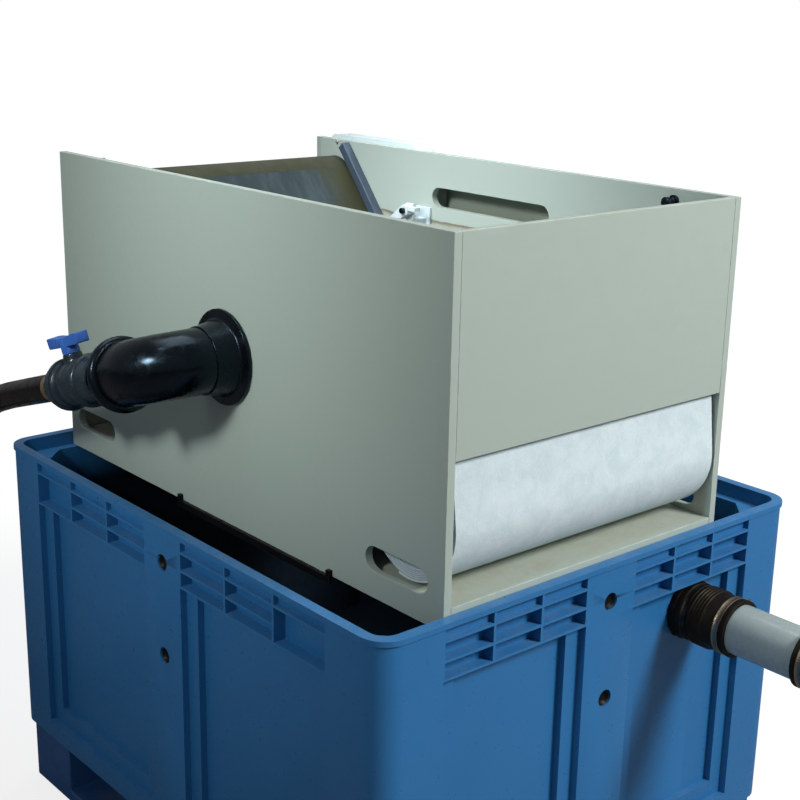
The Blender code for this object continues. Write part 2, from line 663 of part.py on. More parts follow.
def make_float(mats):
    """A bracket on the far panel carries the float's arm on a cross pin."""
    px, py, pz = FLOAT_PIVOT
    wall = INNER_FAR - GAP
    bracket = block((px + 0.0075, py - 0.012, pz - 0.030), (wall, py + 0.012, pz - 0.018))
    bracket = build("float_bracket", bracket, mats["white"])
    plate = block((px + 0.0075, py - 0.012, pz - 0.030), (px + 0.0125, py + 0.012, pz + 0.014))
    boolean(bracket, plate, "UNION")
    foot = block((wall - 0.005, py - 0.022, pz - 0.050), (wall, py + 0.022, pz + 0.004))
    boolean(bracket, foot, "UNION")
    frame = axis_frame((0, py, pz), (1, 0, 0))
    boolean(bracket, disc(0.0042, px + 0.003, px + 0.015, frame, 16))
    pin = [(0, px - 0.016), (0.009, px - 0.016), (0.009, px - 0.0085), (0.004, px - 0.0085),
           (0.004, px + 0.0128), (0.007, px + 0.0128), (0.007, px + 0.017), (0, px + 0.017)]
    build("float_pin", turned(pin, frame, 16), mats["black"])
    reach, drop = 0.150, 0.070
    outline = [(py - 0.010, pz + 0.009), (py - 0.012, pz - 0.006), (py + 0.0, pz - 0.012),
               (py + reach * 0.25, pz - drop * 0.45), (py + reach * 0.25 + 0.010, pz - drop * 0.30),
               (py + 0.012, pz + 0.006), (py + 0.004, pz + 0.012)]
    arm = build("float_arm", prism(outline, "x", px - 0.008, px + 0.007), mats["white"], FLOAT_PIVOT)
    tail = block((px - 0.0075, py - 0.034, pz + 0.001), (px + 0.0065, py - 0.008, pz + 0.009))
    boolean(arm, tail, "UNION")
    boolean(arm, disc(0.0043, px - 0.02, px + 0.02, frame, 16))
    hang = Vector((px - 0.0005, py + reach * 0.25 + 0.004, pz - drop * 0.45 - 0.0035))
    body = [(0, 0.0003), (0.004, 0.0003), (0.004, 0.010), (0.014, 0.018), (0.018, 0.026), (0.018, 0.060),
            (0.014, 0.068), (0, 0.071)]
    shape = turned(body, axis_frame(hang, (0, 0, -1)), 16)
    build("float", shape, mats["white"], FLOAT_PIVOT)


def make_hook(mats):
    """Knob inside the far panel that a cover hooks over."""
    hook = axis_frame((INNER_FAR - GAP, -0.4495, 1.317), (-1, 0, 0))
    profile = [(0, 0), (0.011, 0), (0.011, 0.004), (0.005, 0.006), (0.005, 0.016), (0.009, 0.019),
               (0.009, 0.025), (0, 0.027)]
    build("cover_hook", turned(profile, hook, 16), mats["black"])


# Inlet --------------------------------------------------------------------
CORNER = Vector((NEAR_X - INLET_REACH, 0, BASE + INLET_Z))
RUN = Vector((0, math.cos(INLET_TILT), -math.sin(INLET_TILT)))
STEM_AT = 0.2825                  # distance of the valve's stem from the elbow's corner


def run_frame():
    return axis_frame(CORNER, RUN)


def stem_axis():
    """Across the run, upwards, leaned a little away from the panel."""
    upright = Vector((0, math.sin(INLET_TILT), math.cos(INLET_TILT)))
    return upright * math.cos(VALVE_LEAN) + Vector((-1, 0, 0)) * math.sin(VALVE_LEAN)


def pipe_along(points, outer, inner, across, segments=24):
    """A tube through points in a plane whose normal is across."""
    bm = bmesh.new()
    loops = []
    for i, point in enumerate(points):
        before = points[max(0, i - 1)]
        after = points[min(len(points) - 1, i + 1)]
        ahead = (after - before).normalized()
        side = ahead.cross(across).normalized()
        pair = []
        for radius in (outer, inner):
            pair.append([bm.verts.new(point + radius * (math.cos(a) * side + math.sin(a) * across))
                         for a in (2 * math.pi * k / segments for k in range(segments))])
        loops.append(pair)
    for k in range(segments):
        j = (k + 1) % segments
        for (a_out, a_in), (b_out, b_in) in zip(loops, loops[1:]):
            bm.faces.new((a_out[k], a_out[j], b_out[j], b_out[k]))
            bm.faces.new((a_in[k], b_in[k], b_in[j], a_in[j]))
        for out_ring, in_ring in (loops[0], loops[-1]):
            bm.faces.new((out_ring[k], in_ring[k], in_ring[j], out_ring[j]))
    bmesh.ops.recalc_face_normals(bm, faces=bm.faces)
    return bm


def make_inlet(mats):
    """Flange, elbow and reducer between the near panel and the valve."""
    out = axis_frame((NEAR_X, 0, BASE + INLET_Z), (-1, 0, 0))
    build("flange_seal", ring(0.078, 0.0545, GAP, 0.0023, out, 24), mats["rubber"])
    neck_end = 0.052
    flange = [(0.0545, 0.0026), (0.085, 0.0026), (0.085, 0.0085), (0.082, 0.0115), (0.067, 0.0125),
              (0.063, 0.018), (0.0625, neck_end - 0.003), (0.0610, neck_end), (0.0545, neck_end)]
    build("inlet_flange", turned(flange, out, 28), mats["black"])
    outward = Vector((-1, 0, 0))
    across = outward.cross(RUN).normalized()
    start = Vector((NEAR_X - neck_end - GAP, 0, BASE + INLET_Z))
    end = CORNER + RUN * 0.124
    bend_from, bend_to = CORNER - outward * ELBOW_BEND, CORNER + RUN * ELBOW_BEND
    centre = bend_from + RUN * ELBOW_BEND
    points = [start, bend_from]
    for i in range(1, 9):
        angle = math.pi / 2 * i / 8
        points.append(centre - RUN * ELBOW_BEND * math.cos(angle) + outward * ELBOW_BEND * math.sin(angle))
    points[-1] = bend_to
    points.append(end)
    build("inlet_elbow", pipe_along(points, ELBOW_R, 0.0535, across, 22), mats["black"])
    run = run_frame()
    bead = [(ELBOW_R + 0.0006, 0.108), (0.0640, 0.109), (0.0672, 0.113), (0.0680, 0.121),
            (0.0660, 0.1275), (ELBOW_R + 0.0006, 0.128)]
    build("elbow_ring", turned(bead, run, 24), mats["rubber"])
    reducer = [(0.0315, 0.1243), (0.0530, 0.1243), (0.0530, 0.1340), (0.0455, 0.1480), (0.0375, 0.1540),
               (0.0375, 0.1850), (0.0315, 0.1850)]
    build("reducer", turned(reducer, run, 24), mats["black"])


def union_nut(low, high, frame):
    radius, bore, chamfer = 0.0495, 0.0385, 0.004
    profile = [(bore, low), (radius - chamfer, low), (radius, low + chamfer),
               (radius, high - chamfer), (radius - chamfer, high), (bore, high)]
    return turned(profile, frame, 24)


def make_valve(mats):
    """Union ball valve on the run, with its ball, stem and bar handle as one turning set."""
    run, grey = run_frame(), mats["valve_grey"]
    build("union_nut_inlet", union_nut(0.1865, 0.2455, run), grey)
    build("union_nut_outlet", union_nut(0.3195, 0.3495, run), grey)
    low, high = 0.2460, 0.3190
    bore, seat = 0.0350, 0.0250
    shell = [(bore, low), (0.0470, low), (0.0470, low + 0.006), (0.0445, low + 0.010),
             (0.0445, high - 0.010), (0.0470, high - 0.006), (0.0470, high), (bore, high)]
    body = build("valve_body", turned(shell, run, 24), grey)
    pivot = CORNER + RUN * STEM_AT
    axis = stem_axis()
    stem = axis_frame(pivot, axis, -RUN)
    boolean(body, disc(0.0175, 0.040, 0.0560, stem), "UNION")
    boolean(body, disc(0.0087, 0.020, 0.070, stem))
    ball_r = 0.0343
    edge = math.sqrt(ball_r ** 2 - seat ** 2)
    rim = [(math.sqrt(ball_r ** 2 - h * h), h) for h in (edge * k / 4 for k in range(-4, 5))]
    ball = [(seat, -edge)] + rim[1:-1] + [(seat, edge)]
    build("valve_ball", turned(ball, axis_frame(pivot, RUN), 20), mats["steel"], pivot)
    build("valve_stem", disc(0.0083, ball_r + GAP, 0.0640, stem, 20), grey, pivot)
    make_handle(mats, pivot, stem)


def make_handle(mats, pivot, stem):
    """Hub over the stem's top with a bar of two tapered wings along the pipe."""
    hub = [(0, 0.0643), (0.0087, 0.0643), (0.0087, 0.0565), (0.0165, 0.0565), (0.0150, 0.0740),
           (0.0150, 0.0800), (0, 0.0800)]
    handle = build("valve_handle", turned(hub, stem, 20), mats["handle_blue"], pivot)
    half, low, thin, thick = 0.058, 0.0700, 0.0125, 0.0175
    outline = [(-half, low + 0.004), (-0.018, low), (0.018, low), (half, low + 0.004),
               (half, low + 0.004 + thick), (0.0, low + thin + 0.004), (-half, low + 0.004 + thick)]
    bar = prism(outline, "y", -0.013, 0.013)
    bmesh.ops.transform(bar, matrix=stem, verts=bar.verts)
    boolean(handle, bar, "UNION")


# Hose ---------------------------------------------------------------------
HOSE_START = 0.3725               # distance from the elbow's corner along the run
HOSE_ROUTE = [(-0.4950, 0.510, 0.8820), (-0.4950, 0.590, 0.8560), (-0.4950, 0.665, 0.8250),
              (-0.4955, 0.730, 0.7760), (-0.4970, 0.778, 0.7020), (-0.5000, 0.802, 0.6000),
              (-0.5050, 0.812, 0.4800), (-0.5150, 0.815, 0.3600), (-0.5370, 0.815, 0.2450),
              (-0.5820, 0.812, 0.1450), (-0.6560, 0.806, 0.0720), (-0.7500, 0.800, 0.0370),
              (-0.8500, 0.797, 0.0290), (-0.9500, 0.796, 0.0290)]


def smooth_route(points, steps=2):
    """Points of a Catmull-Rom curve through the route's points."""
    route = [Vector(p) for p in points]
    padded = [2 * route[0] - route[1]] + route + [2 * route[-1] - route[-2]]
    curve = []
    for i in range(1, len(padded) - 2):
        a, b, c, d = padded[i - 1:i + 3]
        for k in range(steps):
            t = k / steps
            curve.append(0.5 * (2 * b + (c - a) * t + (2 * a - 5 * b + 4 * c - d) * t * t
                                + (3 * b - a - 3 * c + d) * t ** 3))
    return curve + [route[-1]]


def make_hose(mats):
    """Hose tail and clamp at the valve, the hose down to the floor, and its end fitting."""
    run = run_frame()
    tail = [(0.0180, 0.3500), (0.0360, 0.3500), (0.0360, 0.3560), (0.0300, 0.3600),
            (0.0300, HOSE_START - GAP), (0.0180, HOSE_START - GAP)]
    build("hose_tail", turned(tail, run, 12), mats["valve_grey"])
    clamp = ring(HOSE_R + 0.0026, HOSE_R + 0.0006, 0.3840, 0.3960, run, 24)
    clamp = build("hose_clamp", clamp, mats["steel"])
    screw = axis_frame(run @ Vector((0.0325, 0, 0.3900)), Vector((-1, 0, 0)))
    boolean(clamp, disc(0.0042, -0.012, 0.012, screw, 12), "UNION")
    start = CORNER + RUN * HOSE_START
    points = [start, CORNER + RUN * 0.450] + [Vector(p) for p in HOSE_ROUTE]
    curve = bpy.data.curves.new("hose", "CURVE")
    curve.dimensions = "3D"
    curve.bevel_depth = HOSE_R
    curve.bevel_resolution = 3
    curve.use_fill_caps = True
    spline = curve.splines.new("POLY")
    route = smooth_route(points)
    spline.points.add(len(route) - 1)
    for spot, point in zip(spline.points, route):
        spot.co = (*point, 1)
    curve.materials.append(mats["black"])
    hose = bpy.data.objects.new("hose", curve)
    bpy.context.scene.collection.objects.link(hose)
    end = axis_frame(HOSE_ROUTE[-1], Vector(HOSE_ROUTE[-1]) - Vector(HOSE_ROUTE[-2]))
    fitting = [(0.0200, 0.0006), (0.0285, 0.0006), (0.0285, 0.034), (0.0265, 0.036), (0.0265, 0.060),
               (0.0200, 0.060)]
    build("hose_fitting", turned(fitting, end, 24), mats["valve_grey"])


def main():
    clear_scene()
    mats = make_materials()
    make_tank(mats)
    make_runners(mats)
    make_drain(mats)
    make_panels(mats)
    make_edge_rail(mats)
    make_overflow_hood(mats)
    make_bed(mats)
    make_band(mats)
    make_supply_roll(mats)
    make_guide_roller(mats)
    make_takeup(mats)
    make_drive(mats)
    make_float(mats)
    make_hook(mats)
    make_inlet(mats)
    make_valve(mats)
    make_hose(mats)


main()
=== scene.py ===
"""Looks of a roll fleece pond filter that stands in the mouth of its tank.

Metres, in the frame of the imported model. The origin is on the floor under the
middle of the tank and +Z is up. -Y is the end with the fleece window and the
drain, -X is the side with the inlet.
"""
from __future__ import annotations

import logging
import math
import random
from dataclasses import dataclass
from enum import Enum
from functools import lru_cache
from typing import Callable, Iterable, Optional, Sequence

import bmesh
import bpy
from mathutils import Matrix, Vector

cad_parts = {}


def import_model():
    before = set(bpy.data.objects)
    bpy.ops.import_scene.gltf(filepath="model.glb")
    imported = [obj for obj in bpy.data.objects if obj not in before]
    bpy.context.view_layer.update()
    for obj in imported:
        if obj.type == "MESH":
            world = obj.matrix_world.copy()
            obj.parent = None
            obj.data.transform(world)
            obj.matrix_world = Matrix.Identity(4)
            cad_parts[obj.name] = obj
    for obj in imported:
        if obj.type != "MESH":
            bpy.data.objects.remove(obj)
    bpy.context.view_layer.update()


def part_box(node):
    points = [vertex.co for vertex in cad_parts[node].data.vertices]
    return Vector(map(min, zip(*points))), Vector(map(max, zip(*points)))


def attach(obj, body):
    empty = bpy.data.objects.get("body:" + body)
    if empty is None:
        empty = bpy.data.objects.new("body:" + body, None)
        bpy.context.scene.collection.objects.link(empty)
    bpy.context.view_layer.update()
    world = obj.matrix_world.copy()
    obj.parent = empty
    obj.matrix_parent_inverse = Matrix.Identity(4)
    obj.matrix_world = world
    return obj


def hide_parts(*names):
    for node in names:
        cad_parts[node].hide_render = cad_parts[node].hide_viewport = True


LOG = logging.getLogger("fleece_filter")

Point = tuple[float, float, float]
Colour = tuple[float, float, float]
Profile = Sequence[tuple[float, float]]
Socket = bpy.types.NodeSocket
Piece = bpy.types.Object
Face = bmesh.types.BMFace

CLEARANCE = 0.0003  # between pieces that fit into each other
MERGE = 1e-6  # points closer than this are one
ON_PLANE = 1e-4  # a face this near to a plane lies on it


class Body(Enum):
    """The moving bodies of the filter."""

    FILTER = "filter"
    VALVE = "valve_set"
    SUPPLY = "supply_roll"
    GUIDE = "guide_roll"
    TAKEUP = "takeup_roll"
    FLOAT = "float_lever"


class Slot(Enum):
    """The record's material slots."""

    TANK = "tank_blue"
    PANEL = "panel"
    FLEECE = "fleece"
    SOILED = "dirty_fleece"
    GUIDE = "guide"
    BLACK = "black"
    RUBBER = "rubber"
    VALVE = "valve_grey"
    HANDLE = "handle_blue"
    PIPE = "pipe_grey"
    STEEL = "steel"
    WHITE = "white"
    MOTOR = "motor"


class Merge(Enum):
    """How a second piece changes the first."""

    CUT = "DIFFERENCE"
    WELD = "UNION"


# Finishes ------------------------------------------------------------------
class Tree:
    """Short calls for building one material's nodes."""

    edge_reach: float = 0.003

    def __init__(self, name: str) -> None:
        """Start a material with its shader and Object coordinates.

        Args:
            name: The material's name.
        """
        self.material = bpy.data.materials.new(name)
        self.material.use_nodes = True
        self.nodes = self.material.node_tree.nodes
        self.links = self.material.node_tree.links
        self.shader = self.nodes["Principled BSDF"]
        self.place = self.nodes.new("ShaderNodeTexCoord").outputs["Object"]

    def set(self, **values: object) -> None:
        """Set constant shader inputs, named with underscores for spaces.

        Args:
            values: The inputs.
        """
        for key, value in values.items():
            socket = self.shader.inputs[key.replace("_", " ")]
            socket.default_value = (*value, 1) if isinstance(value, tuple) else value

    def link(self, source: Socket, target: str) -> None:
        """Join a socket to a shader input by name."""
        self.links.new(source, self.shader.inputs[target])

    def feed(self, node: bpy.types.Node, key: object, value: object) -> None:
        """Give a node's input a constant or a link.

        Args:
            node: The node that is fed.
            key: The input's name or number.
            value: A socket to link, or a constant.
        """
        socket = node.inputs[key]
        if isinstance(value, Socket):
            self.links.new(value, socket)
        elif isinstance(value, tuple) and len(value) == 3 and socket.type == "RGBA":
            socket.default_value = (*value, 1)
        else:
            socket.default_value = value

    def stretched(self, scale: Point, turn: Point = (0, 0, 0)) -> Socket:
        """Scale and turn the piece's own coordinates.

        Args:
            scale: Factor along each axis.
            turn: Euler angles in radians.

        Returns:
            The mapped coordinates.
        """
        node = self.nodes.new("ShaderNodeMapping")
        self.links.new(self.place, node.inputs["Vector"])
        node.inputs["Scale"].default_value = scale
        node.inputs["Rotation"].default_value = turn
        return node.outputs["Vector"]

    def noise(self, scale: float, detail: float = 4, rough: float = 0.5,
              source: Optional[Socket] = None, twist: float = 0) -> Socket:
        """Cloudy value between 0 and 1 on the given coordinates.

        Args:
            scale: Its fineness.
            detail: Its octaves.
            rough: Their share.
            source: Coordinates; the piece's own when left out.
            twist: Its distortion.

        Returns:
            The value.
        """
        node = self.nodes.new("ShaderNodeTexNoise")
        self.links.new(source or self.place, node.inputs["Vector"])
        settings = {"Scale": scale, "Detail": detail, "Roughness": rough, "Distortion": twist}
        for key, value in settings.items():
            node.inputs[key].default_value = value
        return node.outputs["Fac"]

    def range(self, value: Socket, low: float, high: float,
              out_low: float = 0, out_high: float = 1) -> Socket:
        """Map a value from one span to another, eased at both ends and clamped.

        Args:
            value: The value.
            low: Start of its span.
            high: End of its span.
            out_low: Result at the start.
            out_high: Result at the end.

        Returns:
            The result.
        """
        node = self.nodes.new("ShaderNodeMapRange")
        node.interpolation_type = "SMOOTHSTEP"
        self.feed(node, "Value", value)
        spans = {"From Min": low, "From Max": high, "To Min": out_low, "To Max": out_high}
        for key, number in spans.items():
            node.inputs[key].default_value = number
        return node.outputs["Result"]

    def maths(self, operation: str, first: object, second: object = 0.0) -> Socket:
        """One step of arithmetic on values.

        Args:
            operation: The node's operation.
            first: A value or socket.
            second: A value or socket.

        Returns:
            The result.
        """
        node = self.nodes.new("ShaderNodeMath")
        node.operation = operation
        self.feed(node, 0, first)
        self.feed(node, 1, second)
        return node.outputs[0]

    def times(self, first: object, second: object) -> Socket:
        """Multiply two values."""
        return self.maths("MULTIPLY", first, second)

    def distance(self, first: Socket, second: Socket) -> Socket:
        """The length of a vector with two parts."""
        return self.maths("SQRT", self.maths("ADD", self.times(first, first), self.times(second, second)))

    def mix(self, factor: object, first: object, second: object) -> Socket:
        """Blend two colours.

        Args:
            factor: Share of the second colour.
            first: A colour or socket.
            second: A colour or socket.

        Returns:
            The colour.
        """
        node = self.nodes.new("ShaderNodeMix")
        node.data_type = "RGBA"
        self.feed(node, 0, factor)
        self.feed(node, 6, first)
        self.feed(node, 7, second)
        return node.outputs[2]

    def parts(self, source: Optional[Socket] = None) -> tuple[Socket, ...]:
        """Split coordinates into x, y and z.

        Args:
            source: Coordinates; the piece's own when left out.

        Returns:
            The three values.
        """
        node = self.nodes.new("ShaderNodeSeparateXYZ")
        self.links.new(source or self.place, node.inputs[0])
        return tuple(node.outputs)

    def edges(self, low: float = 0.51, high: float = 0.60) -> Socket:
        """How much a point lies on an outward edge, from 0 to 1.

        Args:
            low: Pointiness at 0.
            high: Pointiness at 1.

        Returns:
            The value.
        """
        shape = self.nodes.new("ShaderNodeNewGeometry")
        rounded = self.nodes.new("ShaderNodeBevel")
        rounded.samples = 4
        rounded.inputs["Radius"].default_value = self.edge_reach
        turned = self.nodes.new("ShaderNodeVectorMath")
        turned.operation = "DOT_PRODUCT"
        self.links.new(shape.outputs["Normal"], turned.inputs[0])
        self.links.new(rounded.outputs["Normal"], turned.inputs[1])
        near_edge = self.range(turned.outputs["Value"], 0.90, 0.99, 1, 0)
        return self.times(self.range(shape.outputs["Pointiness"], low, high), near_edge)

    def facing(self) -> tuple[Socket, ...]:
        """The surface's own direction as x, y and z."""
        return self.parts(self.nodes.new("ShaderNodeNewGeometry").outputs["Normal"])

    def relief(self, height: Socket, depth: float, strength: float = 1.0) -> None:
        """Raise the surface by a height, over what is there already.

        Args:
            height: A value between 0 and 1.
            depth: Height in metres at 1.
            strength: Share of the effect.
        """
        node = self.nodes.new("ShaderNodeBump")
        node.inputs["Distance"].default_value = depth
        node.inputs["Strength"].default_value = strength
        self.links.new(height, node.inputs["Height"])
        normal = self.shader.inputs["Normal"]
        if normal.is_linked:
            self.links.new(normal.links[0].from_socket, node.inputs["Normal"])
        self.links.new(node.outputs["Normal"], normal)


@dataclass(frozen=True)
class Moulded:
    """Moulded or pressed plastic with clouding, grain, dust, and pale edges that are partly worn and partly
    painted highlight.
    """

    name: str
    colour: Colour
    shade: Colour
    rough: float = 0.45
    grain: float = 900.0
    grain_depth: float = 0.00012
    cloud: float = 5.0
    # Pale edge colour: partly real scuffing, partly a painted highlight along the edges.
    wear_and_highlight: Colour = (0.6, 0.6, 0.6)
    wear_and_highlight_share: float = 0.25
    dust: Colour = (0.45, 0.42, 0.36)
    dust_share: float = 0.12
    scratch: float = 0.25
    specular: float = 0.5
    tint: Colour = (1.0, 1.0, 1.0)

    def dressed(self, tree: Tree) -> Socket:
        """Build the common layers.

        Args:
            tree: The material's nodes.

        Returns:
            The colour, before anything that a finer finish lays over it.
        """
        clouds = tree.range(tree.noise(self.cloud, 5, 0.6), 0.3, 0.7)
        colour = tree.mix(clouds, self.colour, self.shade)
        # Pale edges, partly worn and partly painted highlight, in patches along outward edges.
        patchy = tree.range(tree.noise(38, 3), 0.35, 0.62, 0, self.wear_and_highlight_share)
        worn = tree.times(tree.edges(), patchy)
        colour = tree.mix(worn, colour, self.wear_and_highlight)
        up = tree.range(tree.facing()[2], 0.2, 1.0)
        film_and_painted_shade = tree.range(tree.noise(17, 6, 0.65), 0.35, 0.75, 0.15, 1)
        settled = tree.times(up, film_and_painted_shade)
        colour = tree.mix(tree.times(settled, self.dust_share), colour, self.dust)
        fine = tree.noise(self.grain, 3, 0.55)
        tree.relief(fine, self.grain_depth, 0.6)
        tree.relief(tree.noise(7, 2), 0.0005, 0.12)
        low = max(0.03, self.rough - 0.10)
        uneven = tree.range(tree.noise(60, 6, 0.7, twist=0.4), 0.3, 0.72, low, self.rough + 0.10)
        scored = self.scores(tree)
        tree.link(tree.maths("ADD", uneven, tree.times(scored, self.scratch)), "Roughness")
        tree.set(Specular_IOR_Level=self.specular, Specular_Tint=self.tint)
        return colour

    def scores(self, tree: Tree) -> Socket:
        """Fine straight scuffs that run a little off the vertical."""
        lines = tree.noise(9, 2, 0.5, tree.stretched((1, 9, 38), turn=(0.5, 0.2, 0.9)))
        return tree.range(lines, 0.62, 0.70)

    def build(self) -> bpy.types.Material:
        """Make the material.

        Returns:
            The material.
        """
        tree = Tree(self.name)
        tree.link(self.dressed(tree), "Base Color")
        return tree.material


@dataclass(frozen=True)
class StainedSheet(Moulded):
    """Pressed sheet whose inner faces carry the pond water's mark and are painted lighter, as painted light.
    """

    low: Point = (-0.3452, -0.5672, 0.75)
    high: Point = (0.2752, 0.5642, 1.400)
    water_level: float = 1.203
    stain: Colour = (0.37, 0.38, 0.30)
    tide: Colour = (0.14, 0.09, 0.045)
    # Paler colour of the painted light on the inner faces.
    inner_painted_light: Colour = (0.50, 0.58, 0.54)
    inner_painted_light_share: float = 0.45

    def inside(self, tree: Tree) -> Socket:
        """1 on the walls' inner faces and 0 elsewhere.

        Args:
            tree: The material's nodes.

        Returns:
            The value.
        """
        share: object = 1.0
        for axis, low, high in zip(tree.parts(), self.low, self.high):
            share = tree.times(share, tree.maths("GREATER_THAN", axis, low))
            share = tree.times(share, tree.maths("LESS_THAN", axis, high))
        return share

    def build(self) -> bpy.types.Material:
        """Make the material.

        Returns:
            The material.
        """
        tree = Tree(self.name)
        colour = self.dressed(tree)
        inner = self.inside(tree)
        z = tree.parts()[2]
        waver = tree.range(tree.noise(7, 5, 0.6), 0.2, 0.8, -0.006, 0.006)
        height = tree.maths("ADD", z, waver)
        # Painted light: the inner faces are lightened towards the paler colour.
        colour = tree.mix(tree.times(inner, self.inner_painted_light_share), colour, self.inner_painted_light)
        film_and_painted_shade = tree.range(height, self.water_level - 0.001, self.water_level + 0.002, 1, 0)
        streaks = tree.noise(10, 5, 0.7, tree.stretched((3, 3, 0.35)))
        runs = tree.range(streaks, 0.3, 0.8, 0.35, 0.95)
        wet = tree.times(tree.times(film_and_painted_shade, runs), inner)
        colour = tree.mix(wet, colour, self.stain)
        rise = tree.range(height, self.water_level - 0.010, self.water_level - 0.001)
        line = tree.times(tree.times(film_and_painted_shade, rise), inner)
        colour = tree.mix(tree.times(line, 0.75), colour, self.tide)
        tree.link(colour, "Base Color")
        return tree.material


@dataclass(frozen=True)
class TubPlastic(Moulded):
    """Moulded tub plastic whose hollow is painted near black below the shelf, as painted shade."""

    hollow: tuple[float, float] = (0.4615, 0.5615)
    shelf: float = 0.7315
    # Near-black colour of the painted shade in the hollow.
    film_and_painted_shade: Colour = (0.004, 0.006, 0.008)

    def build(self) -> bpy.types.Material:
        """Make the material.

        Returns:
            The material.
        """
        tree = Tree(self.name)
        colour = self.dressed(tree)
        x, y, z = tree.parts()
        # Painted shade: inside the hollow and below the shelf the colour turns near black, with a ragged
        # upper edge.
        inside = tree.times(tree.maths("LESS_THAN", tree.maths("ABSOLUTE", x), self.hollow[0]),
                            tree.maths("LESS_THAN", tree.maths("ABSOLUTE", y), self.hollow[1]))
        fringe = tree.range(tree.noise(11, 5, 0.7), 0.2, 0.8, -0.012, 0.012)
        below = tree.range(tree.maths("ADD", z, fringe), self.shelf - 0.090, self.shelf - 0.020, 1, 0)
        painted_shade = tree.times(tree.times(inside, below), 0.97)
        tree.link(tree.mix(painted_shade, colour, self.film_and_painted_shade), "Base Color")
        return tree.material


@dataclass(frozen=True)
class Fleece:
    """Bonded white fibre fleece, seen from its face; it soils along the band."""

    name: str
    colour: Colour = (0.57, 0.67, 0.71)
    shade: Colour = (0.49, 0.60, 0.645)
    soil: Colour = (0.014, 0.026, 0.033)
    silt: Colour = (0.032, 0.052, 0.058)
    margin: Colour = (0.032, 0.033, 0.012)
    soil_from: float = 2.0
    soil_to: float = 2.1

    def build(self) -> bpy.types.Material:
        """Make the material; the soil follows the second value of the UV map.

        Returns:
            The material.
        """
        tree = Tree(self.name)
        patches = tree.range(tree.noise(26, 6, 0.65, twist=0.6), 0.32, 0.68)
        fibre = tree.noise(420, 4, 0.6, tree.stretched((1, 0.45, 0.45)), twist=1.5)
        clean = tree.mix(patches, self.colour, self.shade)
        clean = tree.mix(tree.range(fibre, 0.45, 0.75, 0, 0.25), clean, (0.72, 0.78, 0.81))
        across, along, _ = tree.parts(tree.nodes.new("ShaderNodeTexCoord").outputs["UV"])
        fray = tree.range(tree.noise(14, 5, 0.7), 0.2, 0.8, -0.06, 0.06)
        laden = tree.range(tree.maths("ADD", along, fray), self.soil_from, self.soil_to)
        streak = tree.noise(34, 6, 0.7, tree.stretched((1, 0.18, 0.18)))
        dirt = tree.mix(tree.range(streak, 0.35, 0.75), self.soil, self.silt)
        off_middle = tree.maths("ABSOLUTE", tree.maths("SUBTRACT", across, 0.5))
        ragged = tree.range(tree.noise(9, 5, 0.7), 0.2, 0.8, -0.07, 0.07)
        dirt = tree.mix(tree.range(tree.maths("ADD", off_middle, ragged), 0.28, 0.44), dirt, self.margin)
        tree.link(tree.mix(laden, clean, dirt), "Base Color")
        tree.relief(fibre, 0.0007, 0.8)
        tree.relief(tree.noise(75, 4, 0.6), 0.0012, 0.5)
        tree.link(tree.range(laden, 0, 1, 0.92, 0.55), "Roughness")
        tree.set(Sheen_Weight=0.04, Sheen_Roughness=0.5, Specular_IOR_Level=0.25)
        return tree.material


@dataclass(frozen=True)
class WoundFleece:
    """Fleece wound on a core: the rings of its edge show on the roll's ends, with painted shade between the
    layers.
    """

    name: str
    centre: tuple[float, float]
    colour: Colour
    shade: Colour
    # Colour of the painted shade between the wound layers.
    gap: Colour
    layer: float = 0.003

    def build(self) -> bpy.types.Material:
        """Make the material.

        Returns:
            The material.
        """
        tree = Tree(self.name)
        _, y, z = tree.parts()
        y = tree.maths("SUBTRACT", y, self.centre[0])
        z = tree.maths("SUBTRACT", z, self.centre[1])
        radius = tree.distance(y, z)
        wobble = tree.range(tree.noise(16, 3), 0.2, 0.8, -0.0012, 0.0012)
        turns = tree.maths("DIVIDE", tree.maths("ADD", radius, wobble), self.layer)
        saw = tree.maths("FRACT", turns)
        crest = tree.range(tree.maths("ABSOLUTE", tree.maths("SUBTRACT", saw, 0.5)), 0.22, 0.46)
        side = tree.range(tree.maths("ABSOLUTE", tree.facing()[0]), 0.5, 0.8)
        rings = tree.times(crest, side)
        patches = tree.range(tree.noise(24, 6, 0.65, twist=0.5), 0.3, 0.7)
        fibre = tree.noise(420, 4, 0.6, tree.stretched((1, 0.5, 0.5)), twist=1.2)
        colour = tree.mix(patches, self.colour, self.shade)
        # Painted shade: the rings between layers are darkened towards the gap colour.
        colour = tree.mix(tree.times(rings, 0.8), colour, self.gap)
        tree.link(colour, "Base Color")
        tree.relief(fibre, 0.0007, 0.8)
        tree.relief(tree.maths("SUBTRACT", 1.0, rings), 0.0006, 0.7)
        tree.set(Roughness=0.9, Sheen_Weight=0.04, Specular_IOR_Level=0.25)
        return tree.material


@dataclass(frozen=True)
class DrawnMetal:
    """Metal with fine draw marks along one direction."""

    name: str
    colour: Colour = (0.62, 0.61, 0.58)
    shade: Colour = (0.42, 0.41, 0.39)
    rough: float = 0.26
    grain: Point = (1, 1, 40)

    def build(self) -> bpy.types.Material:
        """Make the material.

        Returns:
            The material.
        """
        tree = Tree(self.name)
        marks = tree.noise(60, 4, 0.6, tree.stretched(self.grain))
        stains = tree.range(tree.noise(30, 5, 0.65), 0.42, 0.72)
        colour = tree.mix(tree.range(marks, 0.3, 0.7, 0, 0.6), self.colour, self.shade)
        tree.link(tree.mix(tree.times(stains, 0.35), colour, (0.20, 0.15, 0.10)), "Base Color")
        tree.link(tree.range(marks, 0.3, 0.75, self.rough, self.rough + 0.2), "Roughness")
        tree.relief(marks, 0.0001, 0.5)
        tree.set(Metallic=0.95)
        return tree.material


